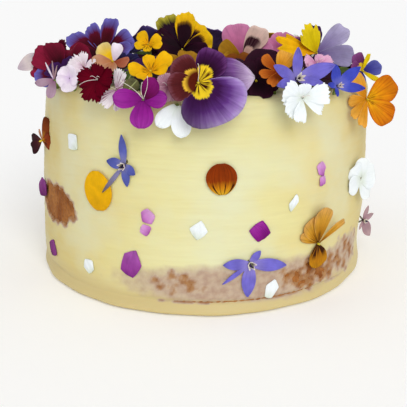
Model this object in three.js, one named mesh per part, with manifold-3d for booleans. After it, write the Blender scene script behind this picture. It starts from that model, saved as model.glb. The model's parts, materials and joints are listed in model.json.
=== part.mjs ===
// A small round cake in a thin coat of pale buttercream, with a bank of fresh edible
// flowers on top and loose petals pressed round its side. Millimetres, +Z up. The origin
// is the centre of the underside. The front is -Y, and an azimuth is 0 there and 90 at +X.
import * as THREE from "three";
import { mergeVertices } from "three/addons/utils/BufferGeometryUtils.js";
import Module from "manifold-3d";

const wasm = await Module();
wasm.setup();

// Driving dimensions
const CAKE_RADIUS = 77; // outside of the buttercream
const CAKE_HEIGHT = 88;
const SIDE_COAT = 3; // buttercream on the side
const TOP_COAT = 5;
const BARE_COAT = 0.7; // how far the sponge lies back where the scraper bared it
const BARE_CUT = 1.1; // lifts the cut through the coat there, past the coat's face
const FOOT_RADIUS = 78.6; // buttercream pushed out at the bottom
const FOOT_HEIGHT = 5.2;
const FOOT_SHIFT = 1.2; // and further out on the left than on the right
const FLOOR_CLEARANCE = 0.4; // the sponge carries the cake, and its coat ends just above
const GAP = 0.3; // between pieces that touch
const PETAL_THICKNESS = 0.9;
const PRESSED_THICKNESS = 0.8;
const WALL_GAP = 0.5; // behind a pressed flower, as the wall is slightly uneven
const FLECK_DEPTH = 0.8; // how far a small pressed petal stands out, and reaches in
const FLECK_UNEVENNESS = 0.14;
const STEM_RADIUS = 0.9;
const TURN_SEGMENTS = 36;
const LARGE_FLOWER = 26; // from this width on, a flower has a middle ring
const MIDDLE_RING = 0.55;

const RAD = Math.PI / 180;
const wave = (azimuth, count, phase) => Math.sin(count * azimuth * RAD + phase);
const clamp01 = (value) => Math.min(1, Math.max(0, value));

// The spatula leaves the side very slightly out of round, and the side draws in toward
// the top, most of all on the left.
const LEAN_START = 30; // height
const LEAN = 1; // at the top
const LEFT_LEAN = 3.4; // and this much more on the left
function sideSway(azimuth, z) {
  const high = clamp01((z - LEAN_START) / (CAKE_HEIGHT - LEAN_START)) ** 1.3;
  const left = clamp01(-wave(azimuth, 1, 0));
  const waves = 0.22 * wave(azimuth, 3, 0.7) + 0.16 * wave(azimuth, 7, z / 11);
  return waves - high * (LEAN + LEFT_LEAN * left * left);
}
const topSway = (azimuth, radius) =>
  0.3 * wave(azimuth, 2, radius / 19) * clamp01(radius / 30);

// Places where the coat is scraped through: centre and half size, in degrees and mm.
const BARE_PATCHES = [
  { azimuth: -6, z: 14, wide: 10, high: 6.5 },
  { azimuth: 42, z: 13.5, wide: 22, high: 7.5 },
  { azimuth: -56, z: 35, wide: 12, high: 10.5 },
  { azimuth: 128, z: 13, wide: 24, high: 6.5 },
  { azimuth: -148, z: 56, wide: 9, high: 8 },
  { azimuth: -122, z: 13, wide: 15, high: 6 },
];
const angleBetween = (a, b) => ((a - b + 540) % 360) - 180;
function bareness(azimuth, z) {
  const of = (patch) => {
    const across = angleBetween(azimuth, patch.azimuth) / patch.wide;
    const up = (z - patch.z) / patch.high;
    return clamp01(2.5 * (1 - across * across - up * up));
  };
  return Math.max(...BARE_PATCHES.map(of));
}
const coatAt = (azimuth, z) => {
  const bare = bareness(azimuth, z);
  return SIDE_COAT * (1 - bare) + BARE_COAT * bare;
};

// A Manifold from a three.js geometry whose faces close on themselves.
function solidFrom(geometry) {
  const plain = geometry.index ? geometry.toNonIndexed() : geometry.clone();
  plain.deleteAttribute("normal");
  plain.deleteAttribute("uv");
  const merged = mergeVertices(plain, 1e-4);
  return new wasm.Manifold(
    new wasm.Mesh({
      numProp: 3,
      vertProperties: new Float32Array(merged.attributes.position.array),
      triVerts: new Uint32Array(merged.index.array),
    }),
  );
}

const solidOf = (positions, index) =>
  solidFrom(
    new THREE.BufferGeometry()
      .setAttribute("position", new THREE.Float32BufferAttribute(positions, 3))
      .setIndex(index),
  );

function geometryFrom(solid) {
  const mesh = solid.getMesh();
  return new THREE.BufferGeometry()
    .setAttribute("position", new THREE.BufferAttribute(mesh.vertProperties, 3))
    .setIndex(new THREE.BufferAttribute(mesh.triVerts, 1));
}

const union = (solids) => solids.reduce((sum, solid) => sum.add(solid));
const largestBody = (solid) =>
  solid.decompose().reduce((best, body) => (body.volume() > best.volume() ? body : best));

// A body of revolution with a wavy wall: rows of [radius, z] for each azimuth, from the
// underside's rim to the top's rim, closed by one point under and one above.
function turnedSolid(rowsAt, underZ, topZ) {
  const positions = [];
  const rowCount = rowsAt(0).length;
  for (let i = 0; i < TURN_SEGMENTS; i++) {
    const azimuth = (360 * i) / TURN_SEGMENTS - 180;
    for (const [radius, z] of rowsAt(azimuth))
      positions.push(
        radius * Math.sin(azimuth * RAD),
        -radius * Math.cos(azimuth * RAD),
        z,
      );
  }
  const under = positions.length / 3;
  const above = under + 1;
  positions.push(0, 0, underZ, 0, 0, topZ);
  const index = [];
  for (let i = 0; i < TURN_SEGMENTS; i++) {
    const here = i * rowCount;
    const next = ((i + 1) % TURN_SEGMENTS) * rowCount;
    for (let j = 0; j + 1 < rowCount; j++) {
      index.push(here + j, next + j, next + j + 1);
      index.push(here + j, next + j + 1, here + j + 1);
    }
    index.push(under, next, here);
    index.push(above, here + rowCount - 1, next + rowCount - 1);
  }
  return solidOf(positions, index);
}

// The baked body, flush with the coat's face wherever the scraper bared it.
const SPONGE_LEVELS = [0, 6, 10, 14, 20, 27, 35, 43, 56, 66];
const SPONGE_TOP = CAKE_HEIGHT - TOP_COAT;
const spongeSolid = (grow, bareGrow) =>
  turnedSolid(
    (azimuth) => [
      ...SPONGE_LEVELS.map((z) => [
        CAKE_RADIUS + sideSway(azimuth, z) - coatAt(azimuth, z) + grow +
          bareGrow * bareness(azimuth, z),
        z === 0 ? -grow : z,
      ]),
      [CAKE_RADIUS + sideSway(azimuth, SPONGE_TOP - 3) - SIDE_COAT + grow, SPONGE_TOP - 3],
      [CAKE_RADIUS + sideSway(azimuth, SPONGE_TOP) - SIDE_COAT - 3 + grow, SPONGE_TOP + grow],
    ],
    -grow,
    SPONGE_TOP + grow,
  );

// The outside of the coat: a pushed-out foot, a crease over it, the side and a soft rim.
const SIDE_LEVELS = [6.5, 20, 38, 58, CAKE_HEIGHT - 5];
const footAt = (azimuth) =>
  FOOT_RADIUS - FOOT_SHIFT * wave(azimuth, 1, 0) + 0.2 * wave(azimuth, 4, 1);
const rimAt = (azimuth) => CAKE_RADIUS + sideSway(azimuth, CAKE_HEIGHT);
const coatOutside = (grow) =>
  turnedSolid(
    (azimuth) => [
      [footAt(azimuth) - 1.2, FLOOR_CLEARANCE - grow],
      [footAt(azimuth) + grow, FLOOR_CLEARANCE + 1.4],
      [footAt(azimuth) - 0.7 + grow, FOOT_HEIGHT - 1.2],
      [CAKE_RADIUS - 0.5 + grow, FOOT_HEIGHT],
      ...SIDE_LEVELS.map((z) => [CAKE_RADIUS + sideSway(azimuth, z) + grow, z]),
      [rimAt(azimuth) - 1.4 + grow, CAKE_HEIGHT - 1.6],
      [rimAt(azimuth) - 4.6 + grow / 2, CAKE_HEIGHT + grow],
      [CAKE_RADIUS / 2, CAKE_HEIGHT + topSway(azimuth, CAKE_RADIUS / 2) + grow],
    ],
    FLOOR_CLEARANCE - grow,
    CAKE_HEIGHT + grow,
  );

// A point on the coat's side, standing out by the given height.
const onSide = (azimuth, z, out) => {
  const radius = CAKE_RADIUS + sideSway(azimuth, z) + out;
  return [radius * Math.sin(azimuth * RAD), -radius * Math.cos(azimuth * RAD), z];
};

// Small petals pressed flat into the side, fused to the coat.
// Each has its centre, its width and height, its lean and how many corners it has.
const FLECKS = [
  { azimuth: -45, z: 66.3, wide: 5.5, high: 5.2, lean: 10, corners: 4 },
  { azimuth: -38.6, z: 14.4, wide: 4.6, high: 5.6, lean: 25, corners: 5 },
  { azimuth: -1.3, z: 36.8, wide: 6.8, high: 7.4, lean: -20, corners: 5 },
  { azimuth: 21, z: 9.6, wide: 5.6, high: 8.2, lean: -25, corners: 6 },
  { azimuth: 27.5, z: 45.4, wide: 3.6, high: 7.2, lean: -30, corners: 5 },
  { azimuth: -75.8, z: 37.2, wide: 6, high: 9, lean: 15, corners: 5 },
  { azimuth: -62, z: 13.6, wide: 5.4, high: 8.4, lean: -18, corners: 5 },
  { azimuth: -22.2, z: 20.2, wide: 9, high: 12, lean: -15, corners: 5 },
  { azimuth: 16.8, z: 35.2, wide: 8.6, high: 8.6, lean: 40, corners: 5 },
  { azimuth: -16.4, z: 41.2, wide: 6.4, high: 5.6, lean: -60, corners: 5 },
  { azimuth: -17.2, z: 35.6, wide: 5.2, high: 4.6, lean: 60, corners: 5 },
  { azimuth: 38, z: 57.2, wide: 4.8, high: 6, lean: 20, corners: 5 },
  { azimuth: 38.6, z: 52.2, wide: 3.8, high: 4.6, lean: -10, corners: 5 },
];

// The far side carries the same scatter by a seeded rule, one fleck to each cell of a
// loose grid, with some cells left empty and room left round each pressed flower.
const BACK_CELL_DEGREES = 25;
const BACK_LEVELS = [18, 38, 59];
const FLECK_ROOM = 7;
const isClear = (fleck, flowers) =>
  flowers.every((flower) => {
    const along = CAKE_RADIUS * RAD * angleBetween(fleck.azimuth, flower.azimuth);
    const distance = Math.hypot(along, fleck.z - flower.at[2]);
    return distance > flower.size / 2 + FLECK_ROOM;
  });
function seededDraw(seed) {
  let state = seed;
  return () => {
    state = (state * 16807) % 2147483647;
    return state / 2147483647;
  };
}
function backFlecks(flowers) {
  const draw = seededDraw(4127);
  const found = [];
  for (let azimuth = 98; azimuth <= 272; azimuth += BACK_CELL_DEGREES)
    for (const level of BACK_LEVELS) {
      const [shift, lift, size, lean, keep] = [draw(), draw(), draw(), draw(), draw()];
      if (keep < 0.35) continue;
      found.push({
        azimuth: azimuth + 12 * (shift - 0.5),
        z: level + 10 * (lift - 0.5),
        wide: 4.5 + 4 * size,
        high: 5.5 + 4.5 * size,
        lean: 90 * (lean - 0.5),
        corners: 5,
      });
    }
  return found.filter((fleck) => isClear(fleck, flowers));
}

// A fleck is a flat prism with its corners on an oval, a little uneven.
function fleckSolid(fleck) {
  const outer = [];
  const inner = [];
  for (let i = 0; i < fleck.corners; i++) {
    const turn = (2 * Math.PI * i) / fleck.corners;
    const uneven = 1 + FLECK_UNEVENNESS * Math.sin(2 * i + fleck.z);
    const across = 0.5 * fleck.wide * uneven * Math.cos(turn);
    const up = 0.5 * fleck.high * uneven * Math.sin(turn);
    const lean = fleck.lean * RAD;
    const side = across * Math.cos(lean) - up * Math.sin(lean);
    const rise = across * Math.sin(lean) + up * Math.cos(lean);
    const azimuth = fleck.azimuth + side / CAKE_RADIUS / RAD;
    outer.push(onSide(azimuth, fleck.z + rise, FLECK_DEPTH));
    inner.push(onSide(azimuth, fleck.z + rise, -FLECK_DEPTH));
  }
  const count = fleck.corners;
  const index = [];
  for (let i = 0; i < count; i++) {
    const next = (i + 1) % count;
    index.push(next, i, count + i, next, count + i, count + next);
    if (i > 0 && i + 1 < count) {
      index.push(0, i, i + 1);
      index.push(count, count + i + 1, count + i);
    }
  }
  return solidOf([...outer, ...inner].flat(), index);
}

// A flower's petals as lobes round its centre: the turn of each lobe's middle from
// straight up, half its spread, its reach as a share of the flower's width, and its layer
// before or behind its neighbours.
const evenLobes = (spread) =>
  [0, 1, 2, 3, 4].map((i) => ({ turn: 72 * i, spread, reach: 0.5, layer: 0.012 * (i % 2) }));
const PANSY_LOBES = [
  { turn: 30, spread: 47, reach: 0.5, layer: -0.06 },
  { turn: 90, spread: 46, reach: 0.48, layer: 0 },
  { turn: 180, spread: 62, reach: 0.5, layer: 0.05 },
  { turn: 270, spread: 46, reach: 0.48, layer: 0.012 },
  { turn: 330, spread: 47, reach: 0.5, layer: -0.045 },
];
const VIOLA_LOBES = PANSY_LOBES.map((lobe) => ({ ...lobe, spread: 0.8 * lobe.spread }));
// Each lobe's rim as pairs of shares of its spread and reach. A petal whose sides bulge
// is fuller than its half spread says.
const FLOWER_KINDS = {
  viola: { lobes: VIOLA_LOBES, rim: [[-0.5, 0.95], [0.5, 0.95]], fullness: 1 },
  pansy: { lobes: PANSY_LOBES, rim: [[-0.6, 0.92], [0, 1], [0.6, 0.92]], fullness: 1 },
  dianthus: { lobes: evenLobes(40), rim: [[-0.62, 0.93], [0.62, 0.93]], fullness: 1 },
  phlox: { lobes: evenLobes(29), rim: [[-0.85, 0.97], [0.85, 0.97]], fullness: 1.7 },
  borage: { lobes: evenLobes(10.5), rim: [[-1.7, 0.54], [0, 1], [1.7, 0.54]], fullness: 1.8 },
};
const HEART_REACH = 0.11; // the rim between petals that stand apart
const LOBE_ROUNDNESS = 3.4;
const SIDE_LIMIT = 0.7; // how near a petal's rim points come to the cut beside it

// A flower's own petals, where it lists them, or those that are usual for its kind.
function lobesOf({ kind, petals }) {
  const usual = FLOWER_KINDS[kind].lobes;
  if (!petals) return usual;
  return petals.map(([turn, spread, reach, layer], i) => ({
    turn,
    spread,
    reach,
    layer: layer ?? usual[i % usual.length].layer,
  }));
}

function rimOf(flower) {
  const { rim, fullness } = FLOWER_KINDS[flower.kind];
  const lobes = lobesOf(flower);
  const edge = (lobe, turn) => {
    const off = Math.abs(angleBetween(turn, lobe.turn)) / (lobe.spread * fullness);
    return off < 1 ? lobe.reach * Math.sqrt(1 - off ** LOBE_ROUNDNESS) : HEART_REACH;
  };
  // From each lobe's middle to the cut before the next one.
  const cuts = lobes.map((lobe, i) => {
    const next = lobes[(i + 1) % lobes.length];
    const gap = (next.turn - lobe.turn + 360) % 360;
    return (gap + fullness * (lobe.spread - next.spread)) / 2;
  });
  return lobes.flatMap((lobe, i) => {
    const before = lobes.at(i - 1);
    const next = lobes[(i + 1) % lobes.length];
    const room = [(lobe.turn - before.turn + 360) % 360 - cuts.at(i - 1), cuts[i]];
    const points = rim.map(([spread, reach]) => {
      const limit = SIDE_LIMIT * (spread < 0 ? room[0] : room[1]);
      const offset = Math.sign(spread) * Math.min(Math.abs(spread) * lobe.spread, limit);
      return { turn: lobe.turn + offset, reach: lobe.reach * reach, layer: lobe.layer };
    });
    const turn = lobe.turn + cuts[i];
    const reach = Math.max(edge(lobe, turn), edge(next, turn));
    return [...points, { turn, reach, layer: (lobe.layer + next.layer) / 2 }];
  });
}

// A flower's face as one thin wavy disc with a lobed rim. It sinks to a throat at its
// centre, its cup lifts the rim, and its ruffle ripples it. A large one has a middle ring.
function discSolid(flower, grow) {
  const { size, cup = 0.06, ruffle = 0.03, waves = 3, throat = 0.1 } = flower;
  const half = (flower.thickness ?? PETAL_THICKNESS) / 2 + grow;
  const rim = rimOf(flower);
  const count = rim.length;
  const rings = size >= LARGE_FLOWER ? [MIDDLE_RING, 1] : [1];
  const pointOn = ({ turn, reach, layer }, share) => {
    const radius = (reach * size + grow) * share;
    const out = radius / (reach * size);
    const ripple = ruffle * Math.sin(waves * turn * RAD + size);
    const rise = (cup + ripple + layer) * out * out;
    const depth = -throat * (1 - out) * (1 - out);
    return [
      radius * Math.sin(turn * RAD),
      radius * Math.cos(turn * RAD),
      size * (rise + depth),
    ];
  };
  const positions = [];
  for (const side of [1, -1]) {
    positions.push(0, 0, -throat * size + side * half);
    for (const share of rings)
      for (const point of rim) {
        const [x, y, z] = pointOn(point, share);
        positions.push(x, y, z + side * half);
      }
  }
  const below = 1 + rings.length * count;
  const outer = below - count;
  const index = [];
  for (let i = 0; i < count; i++) {
    const next = (i + 1) % count;
    const faces = [[0, 1 + next, 1 + i]];
    if (rings.length > 1) {
      faces.push([1 + i, 1 + next, outer + i]);
      faces.push([1 + next, outer + next, outer + i]);
    }
    for (const [a, b, c] of faces)
      index.push(a, b, c, below + a, below + c, below + b);
    index.push(outer + i, outer + next, below + outer + next);
    index.push(outer + i, below + outer + next, below + outer + i);
  }
  return solidOf(positions, index);
}

// A single petal or leaf: an oval sheet, cupped along its middle.
function singleSolid(flower, grow) {
  const { size, tall = size, cup = 0.05, thickness = PETAL_THICKNESS } = flower;
  const rim = [];
  const steps = 12;
  for (let i = 0; i < steps; i++) {
    const turn = (2 * Math.PI * i) / steps;
    const taper = 1 - 0.18 * Math.cos(turn) - 0.06 * Math.cos(3 * turn);
    rim.push([
      (0.5 * size * taper + grow) * Math.sin(turn),
      -(0.5 * tall + grow) * Math.cos(turn),
    ]);
  }
  const half = thickness / 2 + grow;
  const positions = [];
  for (const side of [1, -1]) {
    positions.push(0, 0, side * half);
    for (const [x, y] of rim) positions.push(x, y, cup * Math.abs(x) + side * half);
  }
  const index = [];
  for (let i = 0; i < steps; i++) {
    const next = (i + 1) % steps;
    const below = steps + 1;
    index.push(0, 1 + i, 1 + next, below, below + 1 + next, below + 1 + i);
    index.push(1 + next, 1 + i, below + 1 + i);
    index.push(1 + next, below + 1 + i, below + 1 + next);
  }
  return solidOf(positions, index);
}

// A flower's frame: its face looks along +Z of its own frame, with +Y up the face.
// The face's direction is an azimuth round the cake and an elevation over the level.
function faceMatrix({ at, face: [azimuth, elevation] }) {
  const [sa, ca] = [Math.sin(azimuth * RAD), Math.cos(azimuth * RAD)];
  const [se, ce] = [Math.sin(elevation * RAD), Math.cos(elevation * RAD)];
  const normal = new THREE.Vector3(sa * ce, -ca * ce, se);
  const up = new THREE.Vector3(-sa * se, ca * se, ce);
  const right = new THREE.Vector3().crossVectors(up, normal);
  return new THREE.Matrix4().makeBasis(right, up, normal).setPosition(...at);
}

// A stem from the back of the flower, back and down until it is in the coat. It is made
// in the flower's frame.
const STEM_DROP = 0.9; // how far it goes down for each step back
const MAX_STEM = 16;
function stemSolid(flower, grow) {
  const matrix = faceMatrix(flower);
  const back = new THREE.Vector3(0, 0, -1).transformDirection(matrix);
  const along = back.addScaledVector(new THREE.Vector3(0, 0, -1), STEM_DROP).normalize();
  const tip = new THREE.Vector3(...flower.at);
  let length = 0;
  while (length < MAX_STEM && !(tip.z < CAKE_HEIGHT && Math.hypot(tip.x, tip.y) < CAKE_RADIUS)) {
    tip.add(along);
    length += 1;
  }
  const stem = new THREE.CylinderGeometry(STEM_RADIUS + grow, STEM_RADIUS + grow, length, 4);
  stem.translate(0, length / 2, 0);
  const inFlower = along.transformDirection(matrix.clone().invert());
  const up = new THREE.Vector3(0, 1, 0);
  stem.applyQuaternion(new THREE.Quaternion().setFromUnitVectors(up, inFlower));
  return solidFrom(stem);
}

// The whole flower in its own frame, turned by its roll. A pressed flower has no stem
// and follows the round side.
function flowerSolid(flower, grow) {
  const isSheet = flower.kind === "petal" || flower.kind === "leaf";
  const flat = isSheet ? singleSolid(flower, grow) : discSolid(flower, grow);
  const turned = flat.rotate(0, 0, flower.roll ?? 0);
  if (flower.pressed)
    return turned.warp((point) => {
      point[2] -= (point[0] * point[0]) / (2 * CAKE_RADIUS);
    });
  return isSheet ? turned : turned.add(stemSolid(flower, grow));
}

const flowerMaker = (kind) => (name, size, at, face, roll, tint, more) => ({
  kind,
  name: `${kind}_${name}`,
  size,
  at,
  face,
  roll,
  tint,
  ...more,
});
const [pansy, viola, dianthus] = ["pansy", "viola", "dianthus"].map(flowerMaker);
const [phlox, borage, petal, leaf] = ["phlox", "borage", "petal", "leaf"].map(flowerMaker);

// The bank on top, from the flowers that lie outermost to those that they cover. Each
// has its name, width, centre, the way it faces, its roll and its colour, and those seen
// from the front list their own petals as turn, half spread, reach and layer.
const BANK = [
  pansy("violet_front", 31, [-2, -81.5, 94.5], [3, 10], 0, 0x5b2a7c, {
    cup: 0.03,
    petals: [[34, 46, 0.42, -0.04], [85, 24, 0.66, -0.05], [150, 76, 0.56, 0.04],
      [258, 48, 0.36, 0], [312, 46, 0.37, -0.02]],
  }),
  phlox("magenta_rim", 20, [-22.5, -79.5, 88], [-12, 10], 0, 0x9c1f8e, {
    petals: [[30, 18, 0.46], [88, 17, 0.48], [178, 22, 0.54], [270, 16, 0.54]],
  }),
  phlox("white_rim", 19.5, [-10, -79, 86], [-8, 4], 0, 0xf2f2ec, {
    ruffle: 0,
    throat: 0.04,
    petals: [[166, 17, 0.62], [220, 17, 0.54]],
  }),
  dianthus("crimson", 14, [-40, -71.5, 94], [-16, 14], 0, 0x6a0a24, {
    ruffle: 0.05,
    petals: [[2, 50, 0.43], [76, 50, 0.52], [138, 50, 0.5], [196, 44, 0.64], [276, 50, 0.56]],
  }),
  dianthus("white_rim", 18.5, [37, -75.5, 88], [22, 6], 0, 0xf5f5ee, {
    petals: [[354, 40, 0.3], [80, 36, 0.57], [124, 26, 0.48], [200, 32, 0.5], [242, 40, 0.52],
      [288, 44, 0.55]],
  }),
  borage("lilac", 23.5, [35, -73, 95], [18, 18], 0, 0x6f68c8, {
    cup: 0.1,
    petals: [[0, 10.5, 0.47], [74, 12, 0.6], [106, 10.5, 0.38], [254, 10.5, 0.44],
      [292, 10.5, 0.5]],
  }),
  viola("orange_rim", 24, [68, -46, 83], [16, 6], 0, 0xe28a12, {
    cup: 0.1,
    petals: [[62, 46, 0.54], [134, 44, 0.53], [206, 18, 0.5], [234, 20, 0.46],
      [268, 24, 0.42], [322, 28, 0.53]],
  }),
  dianthus("speckled", 16, [-33.5, -70.5, 90], [-16, 8], 0, 0xe9d4e6, {
    petals: [[20, 32, 0.52], [68, 26, 0.41], [160, 26, 0.5], [226, 42, 0.5]],
  }),
  viola("yellow", 17, [-20.5, -65, 97], [-4, 36], 0, 0xf3b70b, {
    cup: 0.14,
    petals: [[54, 38, 0.55], [98, 32, 0.41], [204, 46, 0.4], [262, 36, 0.47], [350, 42, 0.34]],
  }),
  borage("blue", 16, [52.5, -60, 90.5], [24, 14], 0, 0x4a55c8, {
    cup: 0.12,
    petals: [[342, 16, 0.53], [54, 12, 0.7], [100, 10.5, 0.66], [214, 10.5, 0.32],
      [276, 10.5, 0.38]],
  }),
  phlox("lavender", 12, [-52.5, -61, 93], [-20, 12], 0, 0xe2d5ec, {
    petals: [[20, 30, 0.43], [90, 30, 0.4], [168, 32, 0.45], [238, 30, 0.39], [314, 30, 0.4]],
  }),
  phlox("mauve", 11.5, [-60.5, -52, 91], [-20, 4], 0, 0xb98aa6, {
    petals: [[24, 6, 0.56], [188, 17, 0.62], [256, 12, 0.68], [338, 6, 0.64], [362, 5, 0.66]],
  }),
  viola("dark_front", 19, [20, -66.5, 93.5], [12, 20], 0, 0x2a0a33, {
    ruffle: 0.06,
    petals: [[32, 52, 0.47], [92, 52, 0.48], [170, 58, 0.44], [246, 50, 0.49], [318, 52, 0.46]],
  }),
  dianthus("striped", 10.5, [-13.5, -74.5, 92], [-6, 18], 0, 0xd9a3be, {
    petals: [[8, 42, 0.48], [98, 42, 0.36], [168, 42, 0.58], [230, 42, 0.42], [314, 42, 0.46]],
  }),
  leaf("rim", 6, [-27, -75, 91.5], [-12, 18], -40, 0x5c6b28, { tall: 7.5, cup: 0.3 }),
  dianthus("pale", 14.5, [-47.5, -57, 97.5], [-26, 34], 0, 0xefdde8, {
    ruffle: 0.08,
    petals: [[350, 48, 0.36], [80, 48, 0.42], [138, 48, 0.38], [218, 48, 0.36], [278, 48, 0.5]],
  }),
  viola("peach", 15, [-36, -56, 99.5], [-12, 34], 0, 0xe0935c, {
    cup: 0.16,
    petals: [[18, 36, 0.46], [106, 30, 0.54], [180, 50, 0.45], [250, 48, 0.49], [314, 44, 0.52]],
  }),
  viola("orange", 15.5, [28, -70, 97.5], [10, 30], 0, 0xd9822a, {
    cup: 0.12,
    petals: [[32, 46, 0.53], [180, 28, 0.47], [216, 22, 0.57], [254, 22, 0.55], [310, 26, 0.52]],
  }),
  dianthus("pink", 12.5, [44.5, -55, 98.5], [20, 36], 0, 0xe8a9cc, {
    petals: [[30, 46, 0.32], [88, 46, 0.55], [146, 46, 0.38], [230, 46, 0.46], [278, 46, 0.5]],
  }),
  viola("blue", 15.5, [67.5, -34, 93.5], [22, 24], 0, 0x3c3a96, {
    cup: 0.1,
    petals: [[20, 16, 0.42, 0.08], [84, 44, 0.5, 0], [142, 18, 0.45, 0.08], [220, 48, 0.42, 0],
      [284, 46, 0.42, -0.03], [336, 46, 0.5, -0.05]],
  }),
  pansy("burgundy", 30, [-61.5, -30, 92.5], [-14, 30], 0, 0x6e0f2c, {
    ruffle: 0.05,
    waves: 5,
    petals: [[20, 36, 0.34], [54, 36, 0.5], [90, 48, 0.51], [142, 52, 0.32], [246, 40, 0.39],
      [270, 34, 0.46], [298, 34, 0.5], [336, 36, 0.4]],
  }),
  petal("pale", 7.5, [-76.5, -22, 94.5], [-10, 24], -62, 0xcfc6c0, { tall: 12.5, cup: 0.2 }),
  pansy("blue", 35, [-49.5, 4, 97], [-18, 32], 0, 0x4f4aa6, {
    ruffle: 0.04,
    waves: 6,
    petals: [[62, 34, 0.49], [92, 36, 0.48], [160, 54, 0.26], [254, 42, 0.41], [292, 21, 0.55],
      [328, 19, 0.46], [14, 21, 0.5]],
  }),
  viola("blue_middle", 17, [-37, -12, 94], [-10, 62], 0, 0x5558a8),
  pansy("dark_yellow", 32, [-11, 14, 98.5], [-4, 30], 0, 0x2b0b2f, {
    waves: 6,
    petals: [[38, 32, 0.49], [76, 36, 0.48], [118, 50, 0.42], [238, 46, 0.38], [286, 42, 0.48],
      [330, 30, 0.55], [6, 30, 0.52]],
  }),
  viola("yellow_middle", 14.5, [-26.5, 3, 101], [-8, 30], 0, 0xf2b90d, {
    petals: [[54, 36, 0.47], [100, 32, 0.49], [176, 44, 0.34], [252, 36, 0.44], [318, 40, 0.5]],
  }),
  pansy("mauve", 29, [19, 10, 94], [6, 30], 0, 0xb0588c, {
    cup: 0.1,
    petals: [[36, 34, 0.56, 0.06], [74, 42, 0.5, -0.02], [122, 46, 0.34, 0], [250, 46, 0.36, 0.04],
      [290, 40, 0.44, 0], [344, 50, 0.56, 0.03]],
  }),
  viola("pink", 20, [40.5, 30, 97.5], [12, 30], 0, 0xa64a86, {
    petals: [[36, 48, 0.42], [86, 48, 0.52], [188, 48, 0.36], [268, 48, 0.52], [328, 48, 0.42]],
  }),
  pansy("lavender", 36, [52, -10, 99.5], [14, 30], 0, 0x8674ae, {
    cup: 0.05,
    petals: [[0, 26, 0.36, -0.05], [56, 27, 0.48, -0.02], [106, 32, 0.46, 0],
      [184, 46, 0.34, -0.04], [276, 24, 0.6, 0.03], [326, 52, 0.35, 0.06]],
  }),
  viola("dark_middle", 27, [-20, -39, 93.4], [-6, 70], 25, 0x2d1240),
  pansy("plum_right", 36, [61, 20, 95], [94, 60], 0, 0x6a2a6a),
  dianthus("white_back", 22, [66, 42, 92], [120, 34], 30, 0xf2f0ea),
  pansy("yellow_back", 38, [36, 50, 96], [146, 60], 10, 0xeeb416),
  phlox("magenta_back", 23, [20, 74, 91.4], [165, 30], 20, 0x98248c),
  pansy("violet_back", 38, [-1, 50, 97.4], [180, 60], -12, 0x5d3288),
  viola("orange_back", 24, [-17, 74, 91.4], [-167, 30], 25, 0xde8616),
  pansy("burgundy_back", 39, [-38, 46, 96], [-144, 60], 0, 0x741434, {
    ruffle: 0.08,
    waves: 5,
  }),
  borage("back", 27, [-62, 46, 93], [-126, 34], 12, 0x5159c4),
  dianthus("crimson_left", 21, [-74, 22, 91.6], [-104, 30], 0, 0x70102c),
  phlox("white_back", 21, [52, 62, 91], [140, 24], 0, 0xf0eef0),
  pansy("violet_middle", 37, [21, -25, 92.8], [-10, 82], 150, 0x64348c, { cup: 0.04 }),
  viola("olive_middle", 31, [-9, -9, 93.4], [20, 78], 60, 0xc9b24a),
  dianthus("rose_middle", 23, [3, -50, 92.4], [0, 72], 0, 0xd46ea2),
  viola("rust_middle", 25, [15, -1, 93.2], [10, 76], 40, 0xa8501a),
  viola("dark_left", 23, [-58, -40, 92.6], [-44, 58], 0, 0x4a0f38),
  viola("dark_right", 24, [44, -44, 92.4], [34, 64], 0, 0x2c0d3a),
];

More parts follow.
